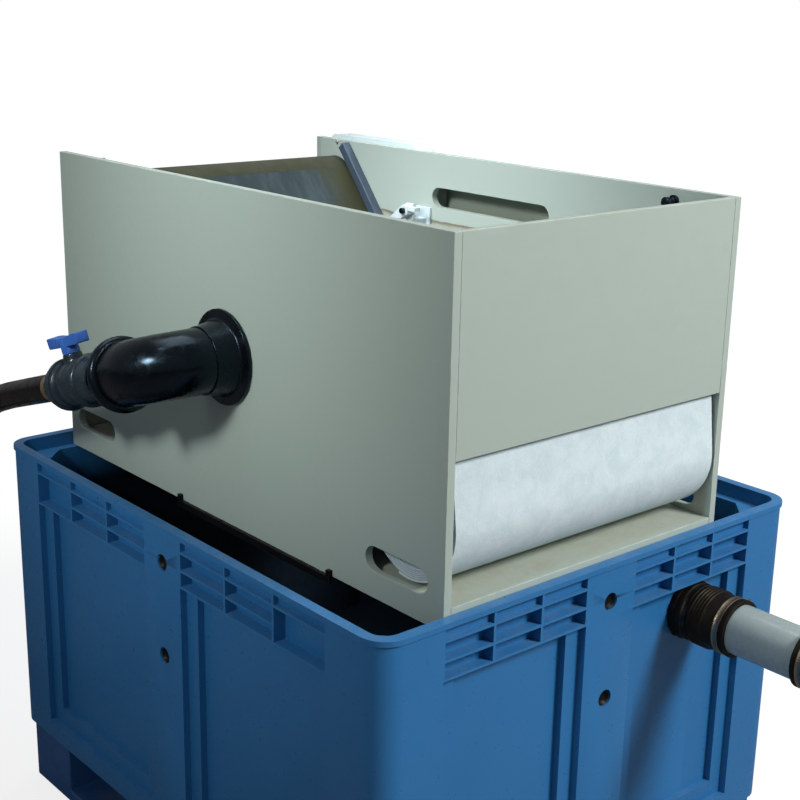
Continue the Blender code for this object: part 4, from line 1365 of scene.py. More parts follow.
@dataclass
class FilterBox(Assembly):
    """The open box of sheet, its edge bar, hood, welds and screws."""

    edge: float = 0.0012
    weld: float = 0.004
    screw_r: float = 0.0045
    near_inner: float = -0.345
    far_inner: float = 0.275
    front_inner: float = -0.567
    rear_inner: float = 0.564
    floor_top: float = 0.7698
    front_low: float = 1.0008
    front_top: float = 1.3388
    rear_top: float = 1.1548

    def build(self) -> None:
        """Make every part of the box."""
        panels = ["side_panel_near", "side_panel_far", "front_panel", "rear_panel", "base_plate"]
        self.eased(panels, self.edge, PANEL, Slot.PANEL)
        self.eased(["edge_rail"], 0.0008, DULL_BLACK, Slot.BLACK)
        self.eased(["overflow_hood"], 0.0015, HOOD, Slot.GUIDE)
        self.welds()
        self.screws()

    def welds(self) -> None:
        """Lay weld beads into the box's inner corners."""
        runs = []
        for x, turn in ((self.near_inner, 1), (self.far_inner, -1)):
            for y, low, high, y_turn in ((self.front_inner, self.front_low, self.front_top, 1),
                                         (self.rear_inner, self.floor_top, self.rear_top, -1)):
                runs.append(((x, y, low), (x, y, high), turn, y_turn))
        for number, (low, high, x_turn, y_turn) in enumerate(runs):
            bead = self.bead(f"corner_weld_{number}", low, high, x_turn, y_turn)
            Bench.hand_over(bead, PANEL, Body.FILTER, Slot.PANEL)

    def bead(self, name: str, low: Point, high: Point, x_turn: int, y_turn: int) -> Piece:
        """One upright bead with the slight ripple of a hand weld.

        Args:
            name: The bead's name.
            low: Its lower end, in the corner.
            high: Its upper end.
            x_turn: Side on which it stands out along X.
            y_turn: Side on which it stands out along Y.

        Returns:
            The bead.
        """
        obj = Bench.start(name, 5, "NGON")
        corner = Vector(low)
        r = self.weld
        plan = ((0, 0), (r, 0), (0.72 * r, 0.45 * r), (0.45 * r, 0.72 * r), (0, r))
        Bench.set_loop(obj, [corner + Vector((x_turn * a, y_turn * b, 0.0006)) for a, b in plan])
        ripples = 28
        rise = (high[2] - low[2] - 0.0012) / ripples
        for step in range(ripples):
            Bench.push((0, 0, rise))
            share = 1.10 if step % 2 == 0 else 1 / 1.10
            bpy.ops.transform.resize(value=(share, share, 1), center_override=corner)
        Bench.close()
        return Bench.ease(obj, 0, smooth=60)

    def screws(self) -> None:
        """Pan-head screws through the panels and the hood."""
        spots = {"panel_screw_rear": ((0.2750, 0.5035, 1.3330), (-1, 0, 0)),
                 "hood_screw_front": ((0.2900, -0.1610, 1.3070), (1, 0, 0)),
                 "hood_screw_rear": ((0.2900, 0.1920, 1.3070), (1, 0, 0))}
        for name, (spot, out) in spots.items():
            piece = pan_screw(name, spot, out, self.screw_r)
            Bench.hand_over(piece, STEEL, Body.FILTER, Slot.STEEL)


def pan_screw(name: str, spot: Sequence[float], out: Sequence[float], radius: float) -> Piece:
    """A round-headed screw with a driving recess.

    Args:
        name: The screw's name.
        spot: Where it enters the surface.
        out: The surface's direction.
        radius: The head's radius.

    Returns:
        The screw.
    """
    frame = frame_along(spot, out)
    well = 0.42 * radius
    profile = [(0, 0), (radius, 0), (radius, 0.22 * radius), (0.86 * radius, 0.46 * radius),
               (0.62 * radius, 0.62 * radius), (well, 0.66 * radius), (0.8 * well, 0.30 * radius),
               (0, 0.26 * radius)]
    return Bench.turned(name, profile, frame, 24, 0.0)


@dataclass
class FleecePath(Assembly):
    """The band of fleece and what leads it: the roller, the bed and the edge guides."""

    width: tuple[float, float] = (-0.339, 0.269)
    thick: float = 0.003
    gap: float = CLEARANCE
    bed_level: float = 0.8558
    bend: float = 0.080
    ramp: float = math.radians(50)
    fall: float = math.radians(67.3)
    columns: int = 48
    ripple: float = 0.0009
    lay_from: float = math.radians(284)

    def line(self) -> list[Vector]:
        """The band's middle line in y and z, from the supply roll to the take-up roll.

        Returns:
            Points along the line.
        """
        lift = self.gap + self.thick / 2
        supply, guide, takeup = Vector(SUPPLY_CENTRE), Vector(GUIDE_CENTRE), Vector(TAKEUP_CENTRE)
        span = guide - supply
        along = span.normalized()
        ratio = (SUPPLY_R - GUIDE_R) / span.length
        normal = along * ratio + Vector((-along.y, along.x)) * math.sqrt(1 - ratio * ratio)
        first = supply + normal * (SUPPLY_R + lift)
        down = Vector((math.cos(self.fall), -math.sin(self.fall)))
        off = Vector((math.sin(self.fall), math.cos(self.fall)))
        wrap = self.arc(guide, GUIDE_R + lift, math.atan2(normal.y, normal.x), math.atan2(off.y, off.x), 14)
        up = Vector((math.cos(self.ramp), math.sin(self.ramp)))
        last = takeup + (TAKEUP_R + lift) * Vector((-math.sin(self.ramp), math.cos(self.ramp)))
        low = wrap[-1] + down * ((wrap[-1].y - self.bed_level) / -down.y)
        high = last - up * ((last.y - self.bed_level) / up.y)
        flat = Vector((1, 0))
        corners = self.bent(low, down, flat) + self.bent(high, flat, up)
        under = math.atan2(normal.y, normal.x) % (2 * math.pi)
        lay = self.arc(supply, SUPPLY_R + lift, self.lay_from, under, 18)
        return self.divided(lay[:-1] + [first] + wrap + corners + [last], 0.022)

    @staticmethod
    def arc(centre: Vector, radius: float, start: float, end: float, steps: int) -> list[Vector]:
        """Points of an arc in y and z."""
        angles = (start + (end - start) * i / steps for i in range(steps + 1))
        return [centre + radius * Vector((math.cos(a), math.sin(a))) for a in angles]

    def bent(self, corner: Vector, before: Vector, after: Vector) -> list[Vector]:
        """Points of the bend at a corner between two directions.

        Args:
            corner: The corner.
            before: The direction into it.
            after: The direction out of it.

        Returns:
            The points in order.
        """
        turn = math.acos(max(-1, min(1, before.dot(after))))
        reach = self.bend * math.tan(turn / 2)
        side = Vector((-before.y, before.x))
        side = -side if side.dot(after) < 0 else side
        centre = corner - before * reach + side * self.bend
        start, end = corner - before * reach - centre, corner + after * reach - centre
        a0 = math.atan2(start.y, start.x)
        swing = (math.atan2(end.y, end.x) - a0 + math.pi) % (2 * math.pi) - math.pi
        return self.arc(centre, self.bend, a0, a0 + swing, 10)

    @staticmethod
    def divided(line: list[Vector], longest: float) -> list[Vector]:
        """The same line with its long stretches divided.

        Args:
            line: The line.
            longest: Longest step that stays.

        Returns:
            The divided line.
        """
        points = [line[0]]
        for before, after in zip(line, line[1:]):
            count = max(1, math.ceil((after - before).length / longest))
            points += [before.lerp(after, k / count) for k in range(1, count + 1)]
        return points

    def build(self) -> None:
        """Make the band and its guides."""
        line = self.line()
        lengths = [0.0]
        for before, after in zip(line, line[1:]):
            lengths.append(lengths[-1] + (after - before).length)
        band = self.web(line, lengths)
        frame = cross_frame(GUIDE_CENTRE)
        roller = [(0.0103, -0.341), (0.0185, -0.341), (GUIDE_R, -0.3395), (GUIDE_R, 0.2695), (0.0185, 0.271),
                  (0.0103, 0.271)]
        self.turned("guide_roller", roller, frame, PIPE_GREY, Slot.PIPE, Body.GUIDE)
        shaft = [(0, -0.3447), (0.010, -0.3447), (0.010, 0.2747), (0, 0.2747)]
        self.turned("guide_roller_shaft", shaft, frame, STEEL, Slot.STEEL)
        self.eased(["fleece_bed"], 0.0004, STEEL, Slot.STEEL)
        self.eased(["edge_guide_near", "edge_guide_far"], 0.0022, SLATE, Slot.GUIDE, segments=3)

    def web(self, line: list[Vector], lengths: list[float]) -> Piece:
        """The band as one grid bent over the line, then given its thickness.

        Args:
            line: The band's middle line.
            lengths: The distance along it at each point.

        Returns:
            The band.
        """
        Bench.clear()
        rows = len(line) - 1
        bpy.ops.mesh.primitive_grid_add(x_subdivisions=self.columns, y_subdivisions=rows, size=1,
                                        enter_editmode=True)
        obj = Bench.named("fleece_band")
        bm = bmesh.from_edit_mesh(obj.data)
        uv = bm.loops.layers.uv.verify()
        low, high = self.width
        for vert in bm.verts:
            share, row = vert.co.x + 0.5, round((vert.co.y + 0.5) * rows)
            spot = line[row]
            ahead = (line[min(rows, row + 1)] - line[max(0, row - 1)]).normalized()
            x = low + (high - low) * share
            out = Vector((-ahead.y, ahead.x)) * self.slack(x, lengths[row])
            vert.co = (x, spot.x + out.x, spot.y + out.y)
            for loop in vert.link_loops:
                loop[uv].uv = (share, lengths[row] / lengths[-1])
        bmesh.update_edit_mesh(obj.data)
        bpy.ops.mesh.select_all(action="SELECT")
        bpy.ops.mesh.normals_make_consistent(inside=False)
        bpy.ops.object.mode_set(mode="OBJECT")
        Bench.apply(obj, "SOLIDIFY", thickness=self.thick, offset=0.0, use_even_offset=True)
        Bench.ease(obj, 0.0, smooth=50)
        return Bench.hand_over(obj, CLEAN_FLEECE, Body.FILTER, Slot.FLEECE, "fleece_web")

    def slack(self, x: float, length: float) -> float:
        """How far the free climb stands off its straight line, in soft waves across it.

        Args:
            x: Place across the band.
            length: Place along it.

        Returns:
            The distance in metres.
        """
        leave, climb = 0.205, 0.33
        length -= leave
        if not 0 < length < climb:
            return 0.0
        hold = math.sin(math.pi * length / climb) ** 2
        wave = (math.sin(21 * x + 4.0) + 0.6 * math.sin(47 * x + 9 * length)
                + 0.5 * math.sin(11 * x - 14 * length + 1.3))
        return self.ripple * hold * wave


def cross_frame(centre: tuple[float, float]) -> Matrix:
    """A frame along +X at a place in y and z, with its origin at x = 0."""
    return frame_along((0, *centre), (1, 0, 0))


@dataclass
class SupplyRoll(Assembly):
    """The clean roll, its core and plugs, and the keepers that carry it."""

    low: float = -0.339
    high: float = 0.269
    core_r: float = 0.030
    layer: float = 0.0035
    seed: int = 11

    def build(self) -> None:
        """Make the roll and its carriers."""
        frame = cross_frame(SUPPLY_CENTRE)
        bore = self.core_r + CLEARANCE
        profile = wound_profile(self.low, self.high, bore, SUPPLY_R, self.layer, self.seed)
        self.turned("supply_fleece", profile, frame, SUPPLY_FLEECE, Slot.FLEECE, Body.SUPPLY, 96, 0.0)
        core = [(0.025, self.low), (self.core_r, self.low), (self.core_r, self.high), (0.025, self.high)]
        self.turned("supply_core", core, frame, CORE_BOARD, Slot.PIPE, Body.SUPPLY)
        ends = {"near": (self.low + 0.030, self.low - 0.0005, -0.344),
                "far": (self.high - 0.030, self.high + 0.0005, 0.274)}
        for side, (inner, outer, tip) in ends.items():
            profile = [(0, inner), (0.0247, inner), (0.0247, outer), (0.015, outer), (0.015, tip), (0, tip)]
            self.turned(f"core_plug_{side}", profile, frame, DULL_BLACK, Slot.BLACK, Body.SUPPLY)
        self.eased(["roll_keeper_near", "roll_keeper_far"], 0.0006, SLATE, Slot.GUIDE)


def wound_profile(low: float, high: float, inner: float, outer: float, layer: float,
                  seed: int) -> list[tuple[float, float]]:
    """Section of a wound roll, with each layer's edge a little in from the ends.

    Args:
        low: The roll's start along its axis.
        high: Its end.
        inner: The radius of its bore.
        outer: Its radius.
        layer: One layer's thickness.
        seed: Start of the random draws.

    Returns:
        The outline in order, from the bore's low end.
    """
    rng = random.Random(seed)
    count = round((outer - inner) / layer)
    radii = [inner + (outer - inner) * k / count for k in range(count + 1)]

    def face(end: float, inward: int) -> list[tuple[float, float]]:
        """The points of one end.

        Args:
            end: The end's place along the axis.
            inward: Which way is into the roll.

        Returns:
            The points, from the bore outwards.
        """
        spots = [(radii[0], end + inward * 0.0012)]
        for a, b in zip(radii, radii[1:]):
            crest = end + inward * rng.uniform(0.0, 0.0011)
            spots += [(a + 0.30 * (b - a), crest), (a + 0.72 * (b - a), crest), (b, end + inward * 0.0014)]
        return spots

    return face(low, 1) + face(high, -1)[::-1]


@dataclass
class TakeUp(Assembly):
    """The soiled roll with its core, journals and bearing."""

    low: float = -0.333
    high: float = 0.263
    core_r: float = 0.025
    bore: float = 0.021
    journal: float = 0.0125
    shaft_end: float = 0.320
    layer: float = 0.0035
    seed: int = 23

    def build(self) -> None:
        """Make the roll and its bearings."""
        frame, body = cross_frame(TAKEUP_CENTRE), Body.TAKEUP
        bore = self.core_r + CLEARANCE
        profile = wound_profile(self.low, self.high, bore, TAKEUP_R, self.layer, self.seed)
        self.turned("takeup_fleece", profile, frame, SOILED_FLEECE, Slot.SOILED, body, 72, 0.0)
        core = [(self.bore, self.low), (self.core_r, self.low), (self.core_r, self.high),
                (self.bore, self.high)]
        self.turned("takeup_core", core, frame, PIPE_GREY, Slot.PIPE, body)
        plug = self.bore - CLEARANCE
        near = [(0, self.low + 0.030), (plug, self.low + 0.030), (plug, self.low - 0.001),
                (self.journal, self.low - 0.001), (self.journal, -0.343), (0, -0.343)]
        self.turned("takeup_plug", near, frame, DULL_BLACK, Slot.BLACK, body)
        shaft = [(0, self.high - 0.040), (plug, self.high - 0.040), (plug, self.high + 0.001),
                 (self.journal, self.high + 0.001), (self.journal, self.shaft_end), (0, self.shaft_end)]
        self.turned("drive_shaft", shaft, frame, STEEL, Slot.STEEL, body)
        self.eased(["takeup_bearing"], 0.0010, DULL_BLACK, Slot.BLACK)


@dataclass
class Drive(Assembly):
    """Gearbox, motor and cover outside the far panel."""

    cover_x: float = 0.3423
    corner: float = 0.022
    front_round: float = 0.010
    corner_steps: int = 6
    fins: int = 9
    fin_pitch: float = 0.0095
    motor_x: float = 0.2903 + 0.0225
    motor_ahead: float = 0.0403
    screw_y: tuple[float, float] = (0.2735, 0.5255)
    screw_z: tuple[float, float] = (1.124, 1.323)

    def build(self) -> None:
        """Make the drive's pieces."""
        self.eased(["gearbox"], 0.0025, MOTOR, Slot.MOTOR, segments=3)
        y, z = TAKEUP_CENTRE
        frame = frame_along((self.motor_x, y - self.motor_ahead, z), (0, -1, 0))
        can = [(0, 0), (0.014, 0), (0.014, 0.010), (0.0220, 0.012)]
        for fin in range(self.fins):
            start = 0.018 + self.fin_pitch * fin
            can += [(0.0220, start), (0.0195, start + 0.001), (0.0195, start + 0.0055),
                    (0.0220, start + 0.0065)]
        can += [(0.0220, 0.130), (0.0200, 0.134), (0.010, 0.134), (0.010, 0.140), (0, 0.140)]
        self.turned("gear_motor", can, frame, MOTOR, Slot.MOTOR)
        self.cover()
        self.eased(["cable_gland"], 0.0005, DULL_BLACK, Slot.BLACK)
        spots = [(self.cover_x - 0.0004, y, z) for z in self.screw_z for y in self.screw_y]
        for number, spot in enumerate(spots):
            screw = pan_screw(f"cover_screw_{number}", spot, (1, 0, 0), 0.0042)
            Bench.hand_over(screw, STEEL, Body.FILTER, Slot.STEEL)

    def cover(self) -> None:
        """The moulded cover: a rounded plan pushed out, with its rims rounded over."""
        low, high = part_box("drive_cover")
        middle = ((low[1] + high[1]) / 2, (low[2] + high[2]) / 2)
        half = ((high[1] - low[1]) / 2, (high[2] - low[2]) / 2)
        corners = rounded_plan(half, self.corner, self.corner_steps, middle)
        obj = Bench.start("drive_cover_shell", len(corners), "NGON")
        Bench.set_loop(obj, [Vector((low[0], y, z)) for y, z in corners])
        Bench.push((high[0] - low[0], 0, 0))
        bpy.ops.mesh.bevel(offset=self.front_round, segments=5, affect="EDGES")
        Bench.close()
        Bench.ease(obj, 0.0, smooth=45)
        Bench.hand_over(obj, WHITE, Body.FILTER, Slot.WHITE, "drive_cover")


@dataclass
class FloatSwitch(Assembly):
    """Bracket, lever and float, and the knob for a cover."""

    pivot: Point = (0.225, 0.205, 1.222)

    def build(self) -> None:
        """Make the switch and the knob."""
        self.eased(["float_bracket"], 0.0008, WHITE, Slot.WHITE)
        self.eased(["float_arm"], 0.0012, WHITE, Slot.WHITE, Body.FLOAT)
        self.pin()
        px, py, pz = self.pivot
        hang = (px - 0.0005, py + 0.0415, pz - 0.035)
        bulb = [(0, 0.0003), (0.004, 0.0003), (0.004, 0.010), (0.010, 0.013), (0.0155, 0.019), (0.018, 0.027),
                (0.018, 0.040), (0.0172, 0.0405), (0.0172, 0.0420), (0.018, 0.0425), (0.018, 0.058),
                (0.0155, 0.066), (0.010, 0.0695), (0, 0.071)]
        self.turned("float", bulb, frame_along(hang, (0, 0, -1)), WHITE, Slot.WHITE, Body.FLOAT)
        knob = [(0, 0), (0.011, 0), (0.011, 0.004), (0.0065, 0.0052), (0.005, 0.008), (0.005, 0.015),
                (0.0065, 0.0172), (0.009, 0.019), (0.009, 0.025), (0.006, 0.0268), (0, 0.027)]
        seat = frame_along((0.2747, -0.4495, 1.317), (-1, 0, 0))
        self.turned("cover_hook", knob, seat, GLOSS_BLACK, Slot.BLACK)

    def pin(self) -> None:
        """The cross pin with its two knobs."""
        px, py, pz = self.pivot
        frame = frame_along((0, py, pz), (1, 0, 0))
        profile = [(0, px - 0.016), (0.0054, px - 0.016), (0.0062, px - 0.0150), (0.0062, px - 0.0095),
                   (0.0054, px - 0.0085), (0.0035, px - 0.0085), (0.0035, px + 0.0128), (0.0058, px + 0.0128),
                   (0.0058, px + 0.017), (0, px + 0.017)]
        self.turned("float_pin", profile, frame, GLOSS_BLACK, Slot.BLACK)


# The inlet's run leaves the panel, turns at CORNER and falls a little along RUN.
CORNER = Vector((-0.495, 0.0, 1.0408))
RUN_TILT = math.radians(17.3)
RUN = Vector((0.0, math.cos(RUN_TILT), -math.sin(RUN_TILT)))
VALVE_LEAN = math.radians(8)


@dataclass
class Inlet(Assembly):
    """Seal, flange, elbow, collar and reducer."""

    panel_x: float = -0.360
    height: float = 1.0408
    pipe_r: float = 0.058
    wall: float = 0.0045
    bend: float = 0.075
    neck: float = 0.052
    end: float = 0.124

    def build(self) -> None:
        """Make the inlet's pieces."""
        out = frame_along((self.panel_x, 0, self.height), (-1, 0, 0))
        seal = [(0.0545, 0.0003), (0.078, 0.0003), (0.0785, 0.0013), (0.078, 0.0023), (0.0545, 0.0023)]
        self.turned("flange_seal", seal, out, RUBBER, Slot.RUBBER, steps=64)
        flange = [(0.0545, 0.0026), (0.0842, 0.0026), (0.085, 0.0034), (0.085, 0.0072), (0.0842, 0.0082)]
        fillet, steps = 0.0045, 5
        for step in range(steps + 1):
            angle = math.pi / 2 * step / steps
            flange.append((0.0712 - fillet * math.sin(angle), 0.0105 + fillet * (1 - math.cos(angle))))
        flange += [(0.0640, 0.0260), (0.0616, 0.0400), (0.0603, self.neck - 0.0007), (0.0597, self.neck),
                   (0.0545, self.neck)]
        self.turned("inlet_flange", flange, out, GLOSS_BLACK, Slot.BLACK, steps=72, round_off=0.0003)
        self.elbow()
        run = frame_along(CORNER, RUN)
        bead = [(0.0586, 0.108), (0.0612, 0.1082), (0.0640, 0.1092), (0.0664, 0.1115), (0.0677, 0.1150),
                (0.0680, 0.1190), (0.0674, 0.1235), (0.0656, 0.1265), (0.0630, 0.1280), (0.0586, 0.1280)]
        self.turned("elbow_ring", bead, run, GLOSS_BLACK, Slot.RUBBER, steps=64, round_off=0.0)
        reducer = [(0.0315, 0.1243), (0.0530, 0.1243), (0.0530, 0.1330), (0.0520, 0.1355), (0.0480, 0.1425),
                   (0.0440, 0.1490), (0.0400, 0.1530), (0.0380, 0.1550), (0.0375, 0.1580), (0.0375, 0.1850),
                   (0.0315, 0.1850)]
        self.turned("reducer", reducer, run, GLOSS_BLACK, Slot.BLACK, steps=56)

    def elbow(self) -> None:
        """A hoop pushed out of the flange, spun through the bend and drawn along the run."""
        Bench.clear()
        start = Vector((self.panel_x - self.neck - CLEARANCE, 0, self.height))
        outward = Vector((-1, 0, 0))
        bpy.ops.mesh.primitive_circle_add(vertices=64, radius=self.pipe_r, location=start,
                                          rotation=(0, math.pi / 2, 0))
        obj = Bench.named("inlet_elbow_bent")
        bpy.ops.object.transform_apply(location=True, rotation=True, scale=True)
        bpy.ops.object.mode_set(mode="EDIT")
        bpy.ops.mesh.select_all(action="SELECT")
        bend_from = CORNER - outward * self.bend
        bpy.ops.mesh.extrude_edges_move(TRANSFORM_OT_translate={"value": bend_from - start})
        centre = bend_from + RUN * self.bend
        bpy.ops.mesh.spin(steps=22, angle=-math.pi / 2, center=centre, axis=outward.cross(RUN))
        drawn = RUN * (self.end - self.bend)
        bpy.ops.mesh.extrude_edges_move(TRANSFORM_OT_translate={"value": drawn})
        Bench.close()
        Bench.apply(obj, "SOLIDIFY", thickness=self.wall, offset=-1.0, use_even_offset=True)
        Bench.ease(obj, 0.0, smooth=45)
        Bench.hand_over(obj, GLOSS_BLACK, Body.FILTER, Slot.BLACK, "inlet_elbow")


@dataclass
class Valve(Assembly):
    """Union ball valve with its two ribbed nuts and its bar handle."""

    stem_at: float = 0.2825
    nut_r: float = 0.0495
    neck_r: float = 0.0430
    rib: float = 0.0009
    steps: int = 72
    stem_bore: float = 0.0087

    def build(self) -> None:
        """Make the valve."""
        run = frame_along(CORNER, RUN)
        self.nut("union_nut_inlet", 0.2455, 0.1865, run)
        self.nut("union_nut_outlet", 0.3195, 0.3495, run)
        pivot = CORNER + RUN * self.stem_at
        upright = Vector((0, math.sin(RUN_TILT), math.cos(RUN_TILT)))
        axis = upright * math.cos(VALVE_LEAN) + Vector((-1, 0, 0)) * math.sin(VALVE_LEAN)
        stem = frame_along(pivot, axis, -RUN)
        self.housing(run, stem)
        seat, ball_r = 0.0250, 0.0343
        edge = math.sqrt(ball_r ** 2 - seat ** 2)
        rim = [(math.sqrt(ball_r ** 2 - h * h), h) for h in (edge * k / 8 for k in range(-8, 9))]
        self.turned("valve_ball", rim, frame_along(pivot, RUN), STEEL, Slot.STEEL, Body.VALVE, round_off=0.0)
        self.turned("valve_stem", [(0, 0.0346), (0.0083, 0.0346), (0.0083, 0.0640), (0, 0.0640)], stem,
                    VALVE_GREY, Slot.VALVE, Body.VALVE)
        self.handle(stem)

    def nut(self, node: str, rim: float, far: float, run: Matrix) -> None:
        """One union nut: a broad rim beside the body and a finely ribbed neck away from it.

        Args:
            node: The node that it stands in for.
            rim: Where its rim meets the body, along the run.
            far: Where its neck ends.
            run: The run's frame.
        """
        away = 1 if far > rim else -1
        length, bore, neck = abs(far - rim), 0.0385, self.neck_r
        top = self.nut_r
        outline = [(bore, 0.0), (top - 0.0035, 0.0), (top - 0.0008, 0.0010), (top, 0.0035), (top, 0.0100),
                   (top - 0.0010, 0.0128), (top - 0.0040, 0.0145), (neck + 0.0008, 0.0165), (neck, 0.0185),
                   (neck, length - 0.0030), (neck - 0.0015, length), (bore, length)]
        profile = [(radius, rim + away * along) for radius, along in outline]
        obj = Bench.turned(f"{node}_ribbed", profile, run, self.steps, 0.0)
        ends = sorted((rim + away * 0.0185, far - away * 0.0030))
        Bench.raised_ribs(obj, run, ends[0], ends[1], neck - 0.001, self.rib, 2, self.steps)
        Bench.ease(obj, 0.0, smooth=40)
        Bench.hand_over(obj, VALVE_GREY, Body.FILTER, Slot.VALVE, node)

    def housing(self, run: Matrix, stem: Matrix) -> None:
        """The body between the nuts, with its rims and the boss under the handle.

        Args:
            run: The run's frame.
            stem: The stem's frame.
        """
        low, high, bore = 0.2460, 0.3190, 0.0350
        shell = [(bore, low), (0.0465, low), (0.0470, low + 0.0008), (0.0470, low + 0.006),
                 (0.0460, low + 0.0075), (0.0420, low + 0.010), (0.0412, low + 0.018), (0.0435, low + 0.026),
                 (0.0440, low + 0.0365), (0.0435, low + 0.047), (0.0412, low + 0.055), (0.0420, high - 0.010),
                 (0.0460, high - 0.0075), (0.0470, high - 0.006), (0.0470, high - 0.0008), (0.0465, high),
                 (bore, high)]
        body = Bench.turned("valve_body_turned", shell, run, 64, 0.0)
        hole = self.stem_bore
        outline = [(hole, 0.038), (0.0195, 0.038), (0.0185, 0.0480), (0.0175, 0.0545), (0.0170, 0.0560),
                   (hole, 0.0560)]
        boss = Bench.turned("valve_boss", outline, stem, 40, 0.0004)
        drill = [(0, 0.030), (hole, 0.030), (hole, 0.06), (0, 0.06)]
        cutter = Bench.turned("stem_bore", drill, stem, 40, 0.0)
        Bench.combine(body, cutter, Merge.CUT)
        Bench.combine(body, boss, Merge.WELD)
        Bench.ease(body, 0.0, smooth=35)
        Bench.hand_over(body, VALVE_GREY, Body.FILTER, Slot.VALVE, "valve_body")

    def handle(self, stem: Matrix) -> None:
        """Hub with two wings that thicken to their ends.

        Args:
            stem: The stem's frame.
        """
        hole = self.stem_bore
        hub = [(0, 0.0643), (hole, 0.0643), (hole, 0.0565), (0.0165, 0.0565), (0.0168, 0.0620),
               (0.0160, 0.0740), (0.0150, 0.0800), (0.0120, 0.0812), (0, 0.0815)]
        piece = Bench.turned("valve_handle_moulded", hub, stem, 40, 0.0005)
        half, low = 0.058, 0.0700
        right = [(0.018, low), (half - 0.002, low + 0.0010), (half, low + 0.0030), (half, low + 0.0205),
                 (half - 0.004, low + 0.0215), (half - 0.020, low + 0.0208), (0.014, low + 0.0175)]
        outline = right + [(-a, b) for a, b in reversed(right)]
        spots = [stem @ Vector((a, -0.013, b)) for a, b in outline]
        across = stem.col[1].to_3d() * 0.026
        bar = Bench.prism("handle_bar", spots, across, 0.0022, 3)
        Bench.combine(piece, bar, Merge.WELD)
        Bench.ease(piece, 0.0, smooth=35)
        Bench.hand_over(piece, HANDLE_BLUE, Body.VALVE, Slot.HANDLE, "valve_handle")


@dataclass
class Clamp(Assembly):
    """A worm-drive band with its rolled edges, screw housing and screw."""

    node: str
    frame: Matrix
    inner: float
    low: float
    width: float = 0.012
    finish: DrawnMetal = PLATED
    housing_angle: float = 0.0

    def build(self) -> None:
        """Make the clamp as one piece."""
        low, high, r = self.low, self.low + self.width, self.inner
        band = [(r, low + 0.0008), (r + 0.0006, low), (r + 0.0016, low + 0.0005),
                (r + 0.0011, low + 0.0016), (r + 0.0011, high - 0.0016), (r + 0.0016, high - 0.0005),
                (r + 0.0006, high), (r, high - 0.0008)]
        strap = Bench.turned(f"{self.node}_band", band, self.frame, 72, 0.0)
        self.thread(strap)
        turn = Matrix.Rotation(self.housing_angle, 4, "Z")
        seat = self.frame @ turn
        middle = (low + high) / 2
        box = Bench.block(f"{self.node}_housing", (r + 0.0014, -0.0075, middle - 0.0060),
                          (r + 0.0092, 0.0075, middle + 0.0060), 0.0018, seat, 3)
        spot = seat @ Vector((r + 0.0052, 0.0070, middle))
        head = frame_along(spot, seat.col[1].to_3d(), seat.col[2].to_3d())
        screw = [(0, 0), (0.0036, 0), (0.0036, 0.0018), (0.0042, 0.0018), (0.0042, 0.0060),
                 (0.0036, 0.0066), (0.0030, 0.0066), (0.0028, 0.0052), (0, 0.0052)]
        bolt = Bench.turned(f"{self.node}_screw", screw, head, 6, 0.0002)
        piece = Bench.joined([strap, box, bolt])
        Bench.hand_over(piece, self.finish, Body.FILTER, Slot.STEEL, self.node)

    def thread(self, strap: Piece) -> None:
        """Press the worm's slots into the band.

        Args:
            strap: The band.
        """
        back = self.frame.inverted()
        reach = self.inner + 0.0008

        def on_top(face: Face) -> bool:
            """Whether a face is on the band's broad outside.

            Args:
                face: The face.

            Returns:
                Whether it is.
            """
            spot = back @ face.calc_center_median()
            wide = abs(spot.z - self.low - self.width / 2) < 0.001
            return wide and math.hypot(spot.x, spot.y) > reach

        Bench.take(strap)
        bpy.ops.object.mode_set(mode="EDIT")
        Bench.pick(strap, on_top)
        bpy.ops.mesh.inset(thickness=0.0009, use_individual=True)
        bpy.ops.transform.shrink_fatten(value=-0.0004)
        bpy.ops.mesh.select_mode(type="VERT")
        bpy.ops.object.mode_set(mode="OBJECT")


